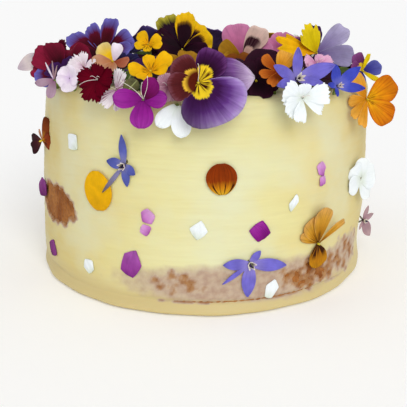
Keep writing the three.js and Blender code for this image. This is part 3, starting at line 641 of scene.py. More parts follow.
FINISHES = {
    "violet_lip": PetalFinish(
        "petal pansy violet to lilac",
        ((0.0, "35093a"), (0.44, "3c0f48"), (0.66, "643786"), (0.88, "a07cc2"), (1.0, "bda5d8")),
        "9d86bd", vein="421a62", flank="33083c", eye="f2cf26", eye_reach=6.3, whisker="3c0e06",
        whisker_reach=5.0, whisker_gap=1.7, whisker_share=0.52,
    ),
    "violet_upper": PetalFinish(
        "petal pansy dark purple",
        ((0.0, "220318"), (0.55, "260420"), (0.82, "3c0f42"), (1.0, "643470")), "8a5c96",
        vein="180218", through=0.12, eye="f2cf26", eye_reach=6.8, whisker="4a1508",
        whisker_reach=6.6, whisker_gap=1.5, whisker_share=0.5,
    ),
    "violet_fold": PetalFinish(
        "petal pansy violet fold",
        ((0.0, "2c0630"), (0.42, "4a1a5c"), (0.64, "805496"), (0.86, "bea4ca"), (1.0, "dacbda")),
        "b49cc6", vein="5c3070", eye="f2cf26", eye_reach=4.4, whisker="4a1f10", whisker_reach=4.2,
        whisker_gap=1.6,
    ),
    "maroon": PetalFinish(
        "petal pansy maroon", ((0.0, "3c0a10"), (0.5, "4a1214"), (0.85, "5e2024"), (1.0, "7c4450")),
        "7d4a5e", vein="2e080c", eye="edbc36", eye_reach=6.0, whisker="5c1a08", whisker_reach=5.2,
        whisker_gap=2.6, whisker_share=0.74,
    ),
    "maroon_dark": plain(
        "viola dark maroon", "6b3a1a 3c0814 2a040e", "240410", "3a0c1e", through=0.1,
    ),
    "magenta": plain(
        "phlox magenta", "7a1272 961f92 a436a2", "660a6a", "b765b4", vein_share=0.45, vein_gap=0.8,
    ),
    "magenta_dark": plain("phlox dark magenta", "4c0624 780f5c 8c1a78", "4c0640", "a04c92"),
    "white": plain(
        "phlox white", "e4ecdc f6fbfd fafeff", "e2ecee", "f6fafc", vein_share=0.3, mottle=0.03,
    ),
    "white_pink": plain("pink white", "d9b9c8 f1ecee f6f5f4", "dcbccb", "efe7ea"),
    "crimson": plain(
        "pink crimson", "540014 600017 540015", "2c0006", "640c28", through=0.06, vein_share=0.5,
        specular=0.03,
    ),
    # Its wide dark veins are partly the petal's veining and partly painted shade
    "orange": plain(
        "viola orange", "fcc410 e6960e d0700a", "a84a02", "dd9a48", whisker="6b2c05",
        whisker_reach=4.0, vein_gap=1.1, vein_share=0.5, wander=0.6,
    ),
    "orange_pale": plain(
        "viola pale orange", "d98a14 dd9620 ecb24a", "b8670a", "e6ab5c", vein_share=0.45,
    ),
    "rust_edge": plain("viola rust edge", "7c2a08 a84a0c cf7426", "7a3006", "d07a30"),
    "yellow_pale": plain("viola pale yellow", "e8b008 f2c81c e6d290", "dca80c", "eedf9c"),
    "night_gold_tip": PetalFinish(
        "petal pansy dark with an olive tip",
        ((0.0, "1c0618"), (0.74, "260a22"), (0.86, "8a8224"), (1.0, "cabc46")), "6a641e",
        wander=0.3,
    ),
    "rust": plain(
        "viola rust", "e7a51a 8a3c08 6c2a04", "5c2004", "8a4a1c", whisker="45190a",
        whisker_reach=5.0,
    ),
    "yellow": plain(
        "viola yellow", "ec9a08 f7bd08 f9c814", "df980a", "f0c445", whisker="5a2607",
        whisker_reach=3.6,
    ),
    "yellow_petal": plain("viola broad yellow", "e8ac0a eeb608 f0ba0c", "d89c08", "ecc445"),
    "lilac_star": plain("borage lilac", "a79be2 7a70d0 7a74d2", "5a4eb0", "8f84c9"),
    "blue_star": plain("borage blue", "8d8fe6 4954c6 414cbc", "333bb0", "6a72cd"),
    "faded_star": plain("borage faded blue", "9a98c4 6068b8 5860b0", "4c4f9c", "7a7cb8"),
    "faded_stalk": plain("borage brownish lilac", "8c88bc 8884a8 7c6c64", "665e86", "8a82a0"),
    "speckled": plain(
        "pink speckled", "a8457c ecd9e2 f6eef2", "b2568a", "e9dbe6", vein_share=0.4,
        whisker="8a2a5c", whisker_reach=9.0, whisker_gap=0.9,
    ),
    "speckled_pale": plain(
        "pink pale speckled", "c486ac f2e8ee faf6f8", "cda4bf", "f0e6ec", vein_share=0.35,
        whisker="96386c", whisker_reach=7.4, whisker_gap=0.9, whisker_share=0.42,
    ),
    "striped": plain("pink striped", "7c2c4c c890a6 dcb4c4", "8e3d58", "dcb4c4", vein_share=0.65),
    "pale_pink": plain("pink pale", "c98fae f6e8f0 fbf4f8", "dcb4ca", "f2e2ec"),
    "rose": plain("pink rose", "b55288 e0a0c6 ecbcd8", "c2679a", "e2b2cf"),
    "lavender_white": plain("phlox lavender white", "d6bfe0 f0e4f0 f8f0f8", "d4bcdc", "e4d8ea"),
    "mauve_pink": plain("phlox mauve", "9c6888 b092a4 bc9cb2", "8f6480", "b494aa"),
    "night": plain("pansy near black", "14020a 1e0414 300820", "0c020a", "33123a", through=0.08),
    "night_blue": plain(
        "viola near black blue", "10061c 191030 232050", "0a0414", "2a2858", through=0.08,
    ),
    "night_violet": plain(
        "pansy dark violet", "1c0624 290c3a 3e1a54", "180420", "46265e", through=0.1,
    ),
    "night_gold_rim": PetalFinish(
        "petal pansy dark with a gold rim",
        ((0.0, "1c0412"), (0.66, "260818"), (0.74, "8f6410"), (0.79, "f0bc10"), (1.0, "fbd018")),
        "d9b11c", wander=0.14,
    ),
    "burgundy": plain("pansy burgundy", "16020a 3c0212 78102e", "240109", "56509a", through=0.12),
    # Painted highlight: a brighter copy of the burgundy for two left petals of the burgundy pansy
    "burgundy_red": plain(
        "pansy bright burgundy", "4a0416 7a0e2a 8e1c3c", "44020f", "6c2038", through=0.12,
    ),
    "burgundy_blue_rim": PetalFinish(
        "petal pansy burgundy with a blue rim",
        ((0.0, "1a0208"), (0.5, "480616"), (0.7, "5c0a26"), (0.8, "5a4488"), (1.0, "706cc0")),
        "5a5cb8", vein="240109", wander=0.2, through=0.12,
    ),
    "indigo": plain("viola indigo", "2a1450 3c3d96 6266b2", "2a2874", "5356ab"),
    "peach": plain("viola peach", "c47c3c c08460 d0a080", "a05a3c", "dba27c"),
    "peach_rust": plain("viola peach rust", "8c3a20 b05c40 c67858", "84361c", "d08a68"),
    "lavender": plain("pansy lavender", "644a8a 9a8cbc bab2d2", "7c6ea2", "a59cbe"),
    "lavender_deep": plain("pansy deep lavender", "5a3e84 887ba8 a098bc", "68588f", "978eb2"),
    "yellow_orange": plain("pansy orange yellow", "e8980a f8ba0a fcc812", "d08a08", "e3b440"),
    "yellow_toothed": plain("pansy greenish yellow", "c9a306 e6cc08 f2d81c", "b99a08", "dcc838"),
    "mauve": plain("pansy mauve", "7a3050 c46c98 d888b4", "8a3a6c", "c088b0"),
    # A cream petal with a dark band across its middle
    "cream_fold": PetalFinish(
        "petal pansy cream round a dark band",
        (
            (0.0, "8a5c20"), (0.2, "c09080"), (0.38, "d6aea0"), (0.44, "2e0c1a"), (0.66, "34101e"),
            (0.73, "dcbcb0"), (1.0, "eed2c6"),
        ),
        "e3cfc6", vein="b58a90", flank="dcb8ac", flank_from=0.62, wander=0.08,
    ),
    "rust_deep": plain("viola deep rust", "5c2008 7c3c10 94581c", "4c1c06", "8c5a2c"),
    "olive_gold": plain("pansy olive gold", "5c3008 9a6a10 b88622", "5e410c", "a48a3c"),
    "gold_tan": PetalFinish(
        "petal viola gold", ((0.0, "5c3406"), (0.35, "b87a10"), (0.7, "d9a034"), (1.0, "dca85a")),
        "c2954a", vein="8a5a14", vein_share=0.5, whisker="4b2a08", whisker_reach=6.0,
    ),
    "gold_lip": plain(
        "viola brown gold", "5a2c06 ae6c08 c88a14", "7c4a08", "b98a3c", vein_share=0.5,
        whisker="3c1a04", whisker_reach=7.5, whisker_gap=2.2, whisker_share=0.55,
    ),
    "violet": plain(
        "pansy violet", "33104a 5b2f86 7a55a4", "3d1a62", "8468ad", eye="e9c52c", eye_reach=4.2,
        whisker="3a1410", whisker_reach=4.4,
    ),
    "plum": plain(
        "pansy plum", "2f0a30 65265f 8a4a86", "42123f", "8d5c8a", eye="e9c52c", eye_reach=3.6,
    ),
    "gold": plain(
        "pansy gold", "c9780a efb414 f5c526", "d08f0c", "ecc34a", whisker="4a1c08",
        whisker_reach=7.0,
    ),
    "amber": PetalFinish(
        "petal viola amber", ((0.0, "f0c030"), (0.22, "d98c12"), (0.45, "9a3c04"), (1.0, "8a3002")),
        "b9682a", vein="4c1a02", vein_share=0.6, whisker="3c1206", whisker_reach=5.5,
        whisker_gap=1.3,
    ),
    "pale_curl": plain("pansy pale reverse", "c9b6c4 ddd0cc b3a6bc", "a892b0", "d6c8cc"),
    "magenta_soft": plain("phlox soft magenta", "8c3490 a048a2 ac5cb0", "8a3090", "b468b4"),
    "mauve_pale": plain("borage pale mauve", "9c7884 b4929a c0a4a6", "94707c", "b89ca2"),
    "violet_fleck": plain("phlox violet", "6a2464 8a3484 984c96", "5c1c58", "9a60a0"),
    "pink_fleck": plain("phlox pink", "b45fb2 d28ccf e2acde", "a84fa6", "d7a0d4"),
}


@dataclass(frozen=True)
class GreenFinish:
    """Fresh leaf, calyx and stamens: waxy skin with a paler midrib."""

    name: str
    deep: str
    light: str
    mottle: float = 3.0
    midrib: str = "a8b070"

    def material(self) -> bpy.types.Material:
        """Mixes two greens by noise of the mottle's size, with the midrib over them.

        Returns:
            The material.
        """
        material, node = new_material(self.name)
        place = node("TexCoord").outputs["Object"]
        across = node("SeparateXYZ", {0: node("UVMap", uv_map="place")})
        noise = node("TexNoise", {"Vector": place, "Scale": per_metre(self.mottle), "Detail": 4.0})
        share = node("MapRange", {0: noise, 1: 0.35, 2: 0.65})
        side = node("Math", {0: across, 1: 0.5}, operation="SUBTRACT")
        off = node("Math", {0: side}, operation="ABSOLUTE")
        rib = node("MapRange", {0: off, 1: 0.06, 2: 0.02, 3: 0.0, 4: 0.6})
        colour = layered(node, linear(self.deep), (share, self.light), (rib, self.midrib))
        node("OutputMaterial", {"Surface": skin(node, colour, noise, (0.4, 0.2), 0.5, 0.15)})
        return material


GREENS = {
    "leaf": GreenFinish("leaf fresh green", "2a3a0c", "55681f"),
    "leaf_dull": GreenFinish("leaf dull brown green", "3c3a1c", "62603a"),
    "calyx": GreenFinish("calyx pale green", "56662a", "86964a"),
    "sepal": GreenFinish("sepal bristly brown green", "4c3f34", "6e6650"),
    "anther": GreenFinish("anther dark violet", "1d1330", "3a2a52"),
    "style": GreenFinish("style creamy white", "d9c9c8", "f1ecdf"),
    "pollen": GreenFinish("stigma yellow green", "b9a31c", "e3cf3a"),
}


@cache
def material_of(name: str) -> bpy.types.Material:
    """The material of a petal or green finish by its short name, made once."""
    return (FINISHES.get(name) or GREENS[name]).material()


@dataclass(frozen=True)
class CreamFinish:
    """Buttercream drawn smooth with a spatula: soft, faintly streaked, a little glossy.

    It is palest at the front and back, and darker and yellower toward the sides, which is
    painted shade. Where it is thin the crumb below tints it, first grey pink and then brown, and
    at the foot it is dull yellow. Clouds and streaks have the size of their pattern in mm,
    round the cake, across it and up it.
    """

    name: str = "buttercream scraped smooth"
    # Painted shade: from the front and back toward the sides the tone grows darker and yellower
    painted_side_shade: tuple[tuple[float, str], ...] = (
        (0.0, "dcd8a6"), (0.35, "dad296"), (0.62, "d8c886"), (0.9, "cdb974"),
    )
    streaked: str = "cfc48c"
    # Painted highlight: the pale colour of patches that stand for a soft reflection
    painted_highlight: str = "d4d8be"
    foot: str = "c8b680"
    hazed: tuple[str, str] = ("bca892", "ac917e")
    browned: tuple[str, str] = ("a67a4e", "8c5a2e")
    clouds: tuple[float, float, float] = (71.43, 71.43, 22.22)
    streaks: tuple[float, float, float] = (16.667, 16.667, 1.4286)

    def material(self) -> bpy.types.Material:
        """Lays streaks, pale patches of painted highlight, the foot's tone and the thin places
        over one another.

        The lowest tone, painted shade toward the sides, follows |x| over the radius, shifted by
        the clouds, and the streaks run round the cake, as the spatula did, from noise squashed
        in height.

        Returns:
            The material.
        """
        material, node, shade, foot = new_material(self.name, "shade", "reach")
        place = node("TexCoord").outputs["Object"]
        cloud, streak = (
            node("TexNoise", {"Vector": drawn, "Scale": 1.0, "Detail": 4.0})
            for drawn in (
                node("Mapping", {"Vector": place, "Scale": tuple(map(per_metre, sizes))})
                for sizes in (self.clouds, self.streaks)
            )
        )
        side = node("Math", {0: node("SeparateXYZ", {0: place})}, operation="ABSOLUTE")
        shift = node("MapRange", {0: cloud, 1: 0.3, 2: 0.7, 3: -0.16, 4: 0.16})
        tone = {0: side, 1: per_metre(CAKE_RADIUS), 2: shift}
        # Painted shade: darker and yellower toward the sides, by |x| over the radius
        base = node("ValToRGB", {0: node("Math", tone, operation="MULTIPLY_ADD")})
        set_stops(base, self.painted_side_shade)
        lines = node("MapRange", {0: streak, 1: 0.35, 2: 0.7, 3: 0.0, 4: 0.3})
        # Painted highlight, in pale patches scattered by 32 mm noise
        highlight_noise = node("TexNoise", {"Vector": place, "Scale": per_metre(32.0), "Detail": 3.0})
        highlight_share = node("MapRange", {0: highlight_noise, 1: 0.46, 2: 0.7, 3: 0.0, 4: 0.5})
        crumbs = node("TexNoise", {"Vector": place, "Scale": per_metre(2.4), "Detail": 5.0})
        blotch = node("MapRange", {0: crumbs, 1: 0.36, 2: 0.7})
        thin_places = []
        for low, high, (pale, dark) in ((0.1, 0.5, self.hazed), (0.45, 0.98, self.browned)):
            share = node("MapRange", {0: shade, 1: low, 2: high})
            thin_places.append((share, layered(node, linear(pale), (blotch, dark))))
        tints = (lines, self.streaked), (highlight_share, self.painted_highlight), (foot, self.foot)
        base = layered(node, base, *tints, *thin_places)
        height = node("Math", {0: crumbs, 1: shade, 2: streak}, operation="MULTIPLY_ADD")
        below = {
            "Subsurface Weight": 0.2, "Subsurface Radius": (1.0, 0.7, 0.35),
            "Subsurface Scale": 3 * MM,
        }
        cream = skin(node, base, height, (0.3, 0.3), 0.5, 0.3, **below)
        node("OutputMaterial", {"Surface": cream})
        return material


@dataclass(frozen=True)
class CrumbFinish:
    """Baked sponge, scraped: open crumb, browner in its skin, smeared with buttercream.

    Its shade is how deep in a bare patch a place lies. The smears are thickest toward a
    patch's edge.
    """

    name: str = "sponge baked crumb"
    baked: str = "82481c"
    light: str = "aa6f38"
    # Painted shade inside the crumb's holes
    hollow: str = "5e3618"
    smeared: str = "a87a4c"

    def material(self) -> bpy.types.Material:
        """Holes come from 1.5 mm cells and are darkened with painted shade, and smears of
        buttercream from 5 mm noise.

        Returns:
            The material.
        """
        material, node, shade = new_material(self.name, "shade")
        place = node("TexCoord").outputs["Object"]
        cells = node("TexVoronoi", {"Vector": place, "Scale": per_metre(1.5)})
        cloud = node("TexNoise", {"Vector": place, "Scale": per_metre(8.0), "Detail": 6.0})
        tone = node("MapRange", {0: cloud, 1: 0.35, 2: 0.65})
        # Painted shade: the holes are darker
        hole_shade = node("MapRange", {0: cells, 1: 0.1, 2: 0.6, 3: 0.35, 4: 0.0})
        smear = node("TexNoise", {"Vector": place, "Scale": per_metre(5.0), "Detail": 5.0})
        cover = node("Math", {0: shade, 1: -0.35, 2: smear}, operation="MULTIPLY_ADD")
        share = node("MapRange", {0: cover, 1: 0.28, 2: 0.5, 3: 0.0, 4: 0.6})
        tints = (tone, self.light), (hole_shade, self.hollow), (share, self.smeared)
        height = node("Math", {0: cells, 1: cloud}, operation="ADD")
        crumb = skin(node, layered(node, linear(self.baked), *tints), height, (0.7, 0.6), 0.85, 0.2)
        node("OutputMaterial", {"Surface": crumb})
        return material


# The cake's body


def keep_piece(piece: bpy.types.Object, slot: str, *nodes: str) -> None:
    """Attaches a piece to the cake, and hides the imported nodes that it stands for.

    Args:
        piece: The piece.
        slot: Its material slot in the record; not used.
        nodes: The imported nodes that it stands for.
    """
    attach(piece, "root")
    if nodes:
        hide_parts(*nodes)
    log.info("%s: %d faces", piece.name, len(piece.data.polygons))


@dataclass(frozen=True)
class Sponge:
    """The baked body. It shows only where the scraper bared it."""

    segments: int = 560
    rows: int = 150
    coated: float = SIDE_COAT + 0.2
    bared: float = 0.7

    def build(self) -> None:
        """Turns a wall that stands 3.2 mm inside the coat's face, and 0.7 mm at a patch."""
        azimuth = all_round(self.segments)
        top = CAKE_HEIGHT - TOP_COAT
        wall_z = np.linspace(0, top - CHAMFER, self.rows)[:, None]
        bare = smoothstep(bare_depth(THIN_PLACES, azimuth, wall_z), -0.6, 0.1)
        around = np.radians(azimuth) * CAKE_RADIUS
        crumb = 0.22 * ragged(around, wall_z, 3.1, 0.4) + 0.12 * ragged(around, wall_z, 1.4, 2.2)
        inset = self.coated * (1 - bare) + (self.bared + crumb) * bare
        lean = side_sway(azimuth, wall_z) + side_relief(azimuth, wall_z)
        shoulder = CAKE_RADIUS + side_sway(azimuth, top) - self.coated - CHAMFER
        radius = np.concatenate([CAKE_RADIUS + lean - inset, shoulder])
        z = np.concatenate([wall_z, [[top]]])
        depth = smoothstep(bare_depth(BARE_PATCHES, azimuth, wall_z), -0.3, 0.5)
        mesher = Mesher()
        mesher.turned(round_axis(azimuth, radius, z), np.concatenate([depth, 0 * shoulder]), 0)
        piece = mesher.piece("sponge_crumb", [CrumbFinish().material()])
        keep_piece(piece, "sponge", "sponge")


@dataclass(frozen=True)
class Coat:
    """The thin buttercream: foot, crease, scraped side, soft rim and top."""

    segments: int = 620
    foot_radius: float = 78.8
    foot_shift: float = 0.7
    foot_narrow: float = 1.2
    foot_round: float = 1.4
    crease_z: float = 5.6
    crease_deep: float = 0.9
    clearance: float = 0.4
    rim_round: float = 4.6
    scraped_deep: float = 2.2
    inner_hole: float = 3.0

    def _foot(self, azimuth: Array) -> tuple[Array, Array]:
        """The foot: a quarter round, and a slant that draws in up to the crease.

        The slant draws in as the 1.3rd power of its height. The foot is narrower at the
        left and right, shifted a little to the left, and uneven in three waves.

        Args:
            azimuth: Places round the cake, in degrees.

        Returns:
            Radii and heights, one row for each ring, from the lowest up.
        """
        turn = np.radians(azimuth)
        aside = smoothstep(np.abs(azimuth), 40, 72) * in_front(azimuth)
        foot = self.foot_radius - self.foot_shift * np.sin(turn) - self.foot_narrow * aside
        for waves, high, phase in ((4, 0.2, 1), (11, 0.25, 0.4), (23, 0.15, 0)):
            foot = foot + high * np.sin(waves * turn + phase)
        bend = np.radians(np.linspace(-90, 0, 8))[:, None]
        round_z = self.clearance + self.foot_round * (1 + np.sin(bend)) + 0 * turn
        share = np.linspace(0, 0.92, 8)[1:, None]
        slant_z = round_z[-1] + (self.crease_z - round_z[-1]) * share
        slant = (CAKE_RADIUS - 0.3 + side_sway(azimuth, slant_z) - foot) * share**1.3
        radius = np.concatenate([foot - self.foot_round * (1 - np.cos(bend)), foot + slant])
        return radius, np.concatenate([round_z, slant_z])

    def _outside(self, azimuth: Array) -> tuple[Array, Array]:
        """The outside: the foot, level rows up the side, a quarter round and the top.

        The crease is a bell in height, deepest at the front. The top sways by 0.3 mm.

        Args:
            azimuth: Places round the cake, in degrees.

        Returns:
            Radii and heights, one row for each ring, from the foot to the top's middle.
        """
        turn = np.radians(azimuth)
        foot_r, foot_z = self._foot(azimuth)
        fine, even = np.linspace(self.crease_z, 9, 8), np.linspace(9.7, RIM_START, 104)
        wall_z = np.concatenate([fine, even])[:, None]
        creased = 0.12 + 0.88 * bell(azimuth, 20, 40, 4)
        crease = self.crease_deep * creased * bell(wall_z, self.crease_z, 0.9)
        wall_r = CAKE_RADIUS + side_sway(azimuth, wall_z) - crease
        lift = np.radians(np.linspace(0, 90, 12))[1:, None]
        rim_r = CAKE_RADIUS + side_sway(azimuth, RIM_START) - self.rim_round * (1 - np.cos(lift))
        rim_z = CAKE_HEIGHT - self.rim_round * (1 - np.sin(lift))
        top_r = (rim_r[-1] - 1.2) * np.linspace(1, 0.04, 14)[:, None]
        top_z = CAKE_HEIGHT + 0.3 * np.sin(2 * turn + top_r / 19) * np.clip(top_r / 30, 0, 1)
        radius = np.concatenate([foot_r, wall_r, rim_r, top_r])
        return radius, np.concatenate([foot_z, wall_z + 0 * turn, rim_z + 0 * turn, top_z])

    def _inside(self, azimuth: Array) -> tuple[Array, Array]:
        """The face against the sponge.

        Args:
            azimuth: Places round the cake, in degrees.

        Returns:
            Radii and heights, one row for each ring, from the top's middle to the floor.
        """
        top = CAKE_HEIGHT - TOP_COAT
        wall = CAKE_RADIUS - SIDE_COAT
        heights = np.array([top, top, top - CHAMFER, 60, 40, self.clearance])[:, None]
        radius = wall + side_sway(azimuth, heights)
        radius[0] = self.inner_hole
        radius[1] -= CHAMFER
        return radius, heights + 0 * azimuth

    def _scraped(self, azimuth: Array, z: Array) -> tuple[Array, Array]:
        """How the coat wears thin at the patches and beside them, and browns in dashes along
        the crease.

        It is gone where a patch's open share plus uneven waves passes a level, which makes
        a ragged edge. On the right of the front it is thin further down.

        Args:
            azimuth: Places round the cake, in degrees.
            z: Their heights, in mm.

        Returns:
            How far the coat is gone, and how brown it is from the crumb showing through and
            from the dashes along the crease, from 0 to 1.
        """
        around = np.radians(azimuth) * CAKE_RADIUS
        uneven = ragged(around, z, 9.0, 0.9)
        shares = [
            patch.open_share * smoothstep(patch.depth(azimuth, z), -0.8, 1.1)
            for patch in BARE_PATCHES
        ]
        beside = smoothstep(bare_depth(BARE_PATCHES, azimuth, z), -1.4, -0.1)
        level = (np.max(shares, axis=0) + 0.24 * uneven) * beside
        hazy = smoothstep(bare_depth(THIN_PLACES, azimuth, z) + 0.16 * uneven, -0.7, 0.6)
        lower = 3.2 * smoothstep(azimuth, 5, 40) * in_front(azimuth)
        thin = np.maximum(0.5 * hazy, smoothstep(level, 0.0, 0.4))
        thin = thin * smoothstep(z, 3.6 - lower, 7.4 - lower)
        dashes = smoothstep(ragged(around, 0 * z, 16.0, 2.0), -0.35, 0.35)
        # Brown dashes along the crease, laid into the coat's colour
        crease_browning = 0.95 * bell(z, self.crease_z, 0.55) * dashes * bell(azimuth, 15, 36, 6)
        return smoothstep(level, 0.36, 0.62), np.maximum(thin, crease_browning)

    def build(self) -> None:
        """Makes the outside with its spatula marks, dipping under the crumb at each patch.

        The marks are 0.1 mm waves drawn out round the cake. The shade is how brown the coat is,
        from the crumb showing through and from the dashes along the crease, and the reach is how
        near the foot a place lies.
        """
        azimuth = all_round(self.segments)
        radius, z = self._outside(azimuth)
        around = np.radians(azimuth) * CAKE_RADIUS
        on_wall = smoothstep(z, 4.5, 8) * (1 - smoothstep(z, 80, 86))
        marks = 0.1 * ragged(around / 7, z, 5.0, 1.3) + 0.05 * ragged(around / 12, z, 1.9, 0.2)
        gone, thin = self._scraped(azimuth, z)
        relief = marks + side_relief(azimuth, z) - self.scraped_deep * gone
        inner_r, inner_z = self._inside(azimuth)
        radius = np.concatenate([radius + on_wall * relief, inner_r])
        rings = round_axis(azimuth, radius, np.concatenate([z, inner_z]))
        thin = np.concatenate([thin, 0 * inner_r])
        foot = np.concatenate([1 - smoothstep(z, 4.0, 14.0), 0 * inner_r])
        mesher = Mesher()
        mesher.keep(rings, 0 * rings[..., :2], foot, thin)
        self._close(mesher, np.arange(thin.size).reshape(thin.shape), len(z))
        piece = mesher.piece("buttercream_coat", [CreamFinish().material()])
        keep_piece(piece, "buttercream", "buttercream")

    def _close(self, mesher: Mesher, index: Array, outside: int) -> None:
        """Joins the rings to one skin, closed over the top, under it and round the floor.

        Args:
            mesher: Has the points.
            index: Their numbers, one row for each ring, the outside's before the inside's.
            outside: How many rings the outside has.
        """
        quads = ring_faces(index)
        floor = ring_faces(index[[-1, 0]])
        skins = np.concatenate([quads[: outside - 1], quads[outside:], floor]).reshape(-1, 4)
        caps = [index[outside - 1].tolist(), index[outside][::-1].tolist()]
        mesher.join(skins.tolist() + caps, 0)


# Petals and flowers


class Outline(Enum):
    """How a petal's edge runs."""

    FAN = "fan"
    BLADE = "blade"
    ROUND = "round"


@dataclass(frozen=True)
class Petal:
    """One petal: which way it points, its half spread in degrees and its other shape.

    Reach, layer, notch, tooth and skew are shares of the flower's size or of the petal. A
    petal of a higher layer lies in front, and a higher square makes its end squarer.
    """

    turn: float
    spread: float
    reach: float = 0.5
    layer: float = 0.0
    square: float = 3.4
    notch: float = 0.0
    teeth: int = 0
    tooth: float = 0.1
    outline: Outline = Outline.FAN
    tilt: float = 0.0
    skew: float = 0.0


def five(petal: Petal) -> tuple[Petal, ...]:
    """Five alike round the centre, every second one a little in front."""
    return tuple(replace(petal, turn=72.0 * i, layer=0.012 * (i % 2)) for i in range(5))


PANSY_PETALS = (
    Petal(30, 47, 0.5, -0.06),
    Petal(90, 46, 0.48, 0.0),
    Petal(180, 62, 0.5, 0.05, notch=0.05),
    Petal(270, 46, 0.48, 0.012),
    Petal(330, 47, 0.5, -0.045),
)


class Kind(Enum):
    """The kinds of flower, each with its petals clockwise from straight up."""

    PANSY = PANSY_PETALS
    VIOLA = tuple(replace(petal, spread=0.8 * petal.spread) for petal in PANSY_PETALS)
    DIANTHUS = five(Petal(0, 40, square=5, teeth=9, tooth=0.12, tilt=0.06))
    PHLOX = five(Petal(0, 29, outline=Outline.ROUND, tilt=0.03))
    BORAGE = five(Petal(0, 10.5, outline=Outline.BLADE))
    SINGLE = (Petal(0, 60),)


@dataclass(frozen=True)
class Flower:
    """A flower with the same place, facing and roll as its node.

    The size, the place at, a single petal's height tall and the thickness are in mm, and
    the face is the azimuth and elevation that it looks to. Dress names its petals'
    finishes, and shapes gives each petal's turn, half spread and reach where they aren't
    the kind's own. Cup, ruffle, throat, frill and waver are shares of the size: how much
    the petals rise, roll up and down, sink at the centre, and are uneven at their edges.
    Waves and frills count the rolls and the frills, and bite deepens the teeth. Taper and
    blunt shape a single petal. Hairs are pale threads at the heart, each with the way it
    points and its length. A pressed flower follows the wall and has no stem.
    """

    name: str
    kind: Kind
    size: float
    at: tuple[float, float, float]
    face: tuple[float, float]
    dress: tuple[str, ...]
    roll: float = 0.0
    cup: float = 0.06
    ruffle: float = 0.03
    waves: float = 3
    throat: float = 0.1
    tall: float = 0.0
    taper: float = 1.25
    blunt: float = 0.6
    waver: float = 0.015
    bite: float = 1.0
    hairs: tuple[tuple[float, float], ...] = ()
    frill: float = 0.012
    frills: float = 9.0
    thickness: float = 0.45
    pressed: bool = False
    petals: tuple[Petal, ...] = ()
    shapes: tuple[tuple[float, float, float], ...] = ()
    stem_radius: float = 0.75
    stem_drop: float = 0.9
    longest_stem: float = 16.0

    def axes(self) -> Array:
        """The face's own directions, in the cake's frame.

        Returns:
            Three rows: the face's right, its up and the way it looks.
        """
        azimuth, elevation = self.face
        lift = math.radians(elevation)
        look = round_axis(azimuth, math.cos(lift), math.sin(lift))
        up = round_axis(azimuth, -math.sin(lift), math.cos(lift))
        return np.array([np.cross(up, look), up, look])

    def placed(self, local: Array) -> Array:
        """Puts points of the face's frame on the cake.

        They are rolled about the face's middle, and bent to the wall where it is pressed.

        Args:
            local: Points to the face's right, up and out, as (..., 3).

        Returns:
            The points in the cake's frame.
        """
        roll = math.radians(self.roll)
        x = local[..., 0] * math.cos(roll) - local[..., 1] * math.sin(roll)
        y = local[..., 0] * math.sin(roll) + local[..., 1] * math.cos(roll)
        z = local[..., 2]
        if self.pressed:
            z = z - x**2 / (2 * CAKE_RADIUS)
        return np.stack([x, y, z], axis=-1) @ self.axes() + np.array(self.at)

    def _spread(self, petal: Petal, u: Array, v: Array, index: int) -> tuple[Array, Array]:
        """Where a petal's points lie round and out from the flower's centre.

        A fan's edge lies at reach (1 - |u|^square)^(1/2), less its notch, skew and teeth.
        A blade or a round petal is reach long and as wide as a sine of a power of v, round
        ones being widest near their tips.

        Args:
            petal: The petal.
            u: Place across it, from -1 to 1.
            v: Place along it, from 0 to 1.
            index: Its number in the flower.

        Returns:
            The angle from the way it points, and the distance from the centre in mm.
        """
        longest = petal.reach * self.size
        if petal.outline is not Outline.FAN:
            bend, blunt = (1.15, 0.8) if petal.outline is Outline.BLADE else (1.7, 0.5)
            width = np.sin(np.pi * (0.1 + 0.89 * v) ** bend) ** blunt
            side = longest * math.tan(math.radians(petal.spread)) * u * width
            return np.arctan2(side, longest * v), np.hypot(side, longest * v)
        edge = (1 - np.abs(u) ** petal.square) ** 0.5 * (1 - petal.notch * bell(u, 0, 0.25))
        edge = edge * (1 - petal.skew * u + self.waver * np.sin(8 * u + 2.1 * index))
        if petal.teeth:
            saw = np.abs((petal.teeth * (u + 1) / 2) % 1 - 0.5) * 2
            bite = self.bite * petal.tooth
            edge = edge * (1 - bite * saw * (0.6 + 0.4 * np.sin(7 * u + index)))
        return np.radians(petal.spread) * u + 0 * v, longest * edge * v

    def _petal(self, mesher: Mesher, petal: Petal, finish: int, index: int) -> None:
        """Adds one petal.

        Across it u runs from -1 to 1 and along it v from 0 to 1. Its height is
        (cup + ripple + layer) s^2 - throat (1 - s)^2, with s the distance from the centre
        over the reach, plus a fine frill that grows with v^4 and a tilt from side to side.

        Args:
            mesher: Takes the petal.
            petal: Its shape.
            finish: Which of the flower's materials it has.
            index: Its number in the flower.
        """
        rows, columns = (14, 49) if petal.teeth else (16, 25)
        u = 0.996 * np.sin(np.pi / 2 * np.linspace(-1, 1, columns))[None, :]
        v = np.linspace(0.05, 1, rows)[:, None]
        offset, radius = self._spread(petal, u, v, index)
        turn = np.radians(petal.turn) + offset
        s = radius / (petal.reach * self.size)
        ripple = self.ruffle * np.sin(self.waves * turn + self.size)
        frill = self.frill * np.sin(self.frills * u * (1 + 0.2 * index) + index) * v**4
        rise = (self.cup + ripple + petal.layer) * s**2 + frill + petal.tilt * u * s
        depth = -self.throat * (1 - s) ** 2 + 0.25 * petal.layer
        local = [radius * np.sin(turn), radius * np.cos(turn), self.size * (rise + depth)]
        thickness = self.thickness * (1 - 0.6 * v**6) * (1 - 0.5 * np.abs(u) ** 8)
        shade = 0.37 * index + self.size % 1
        face = self.placed(np.stack(local, axis=-1))
        mesher.sheet(face, thickness, u, v, radius, shade, finish)

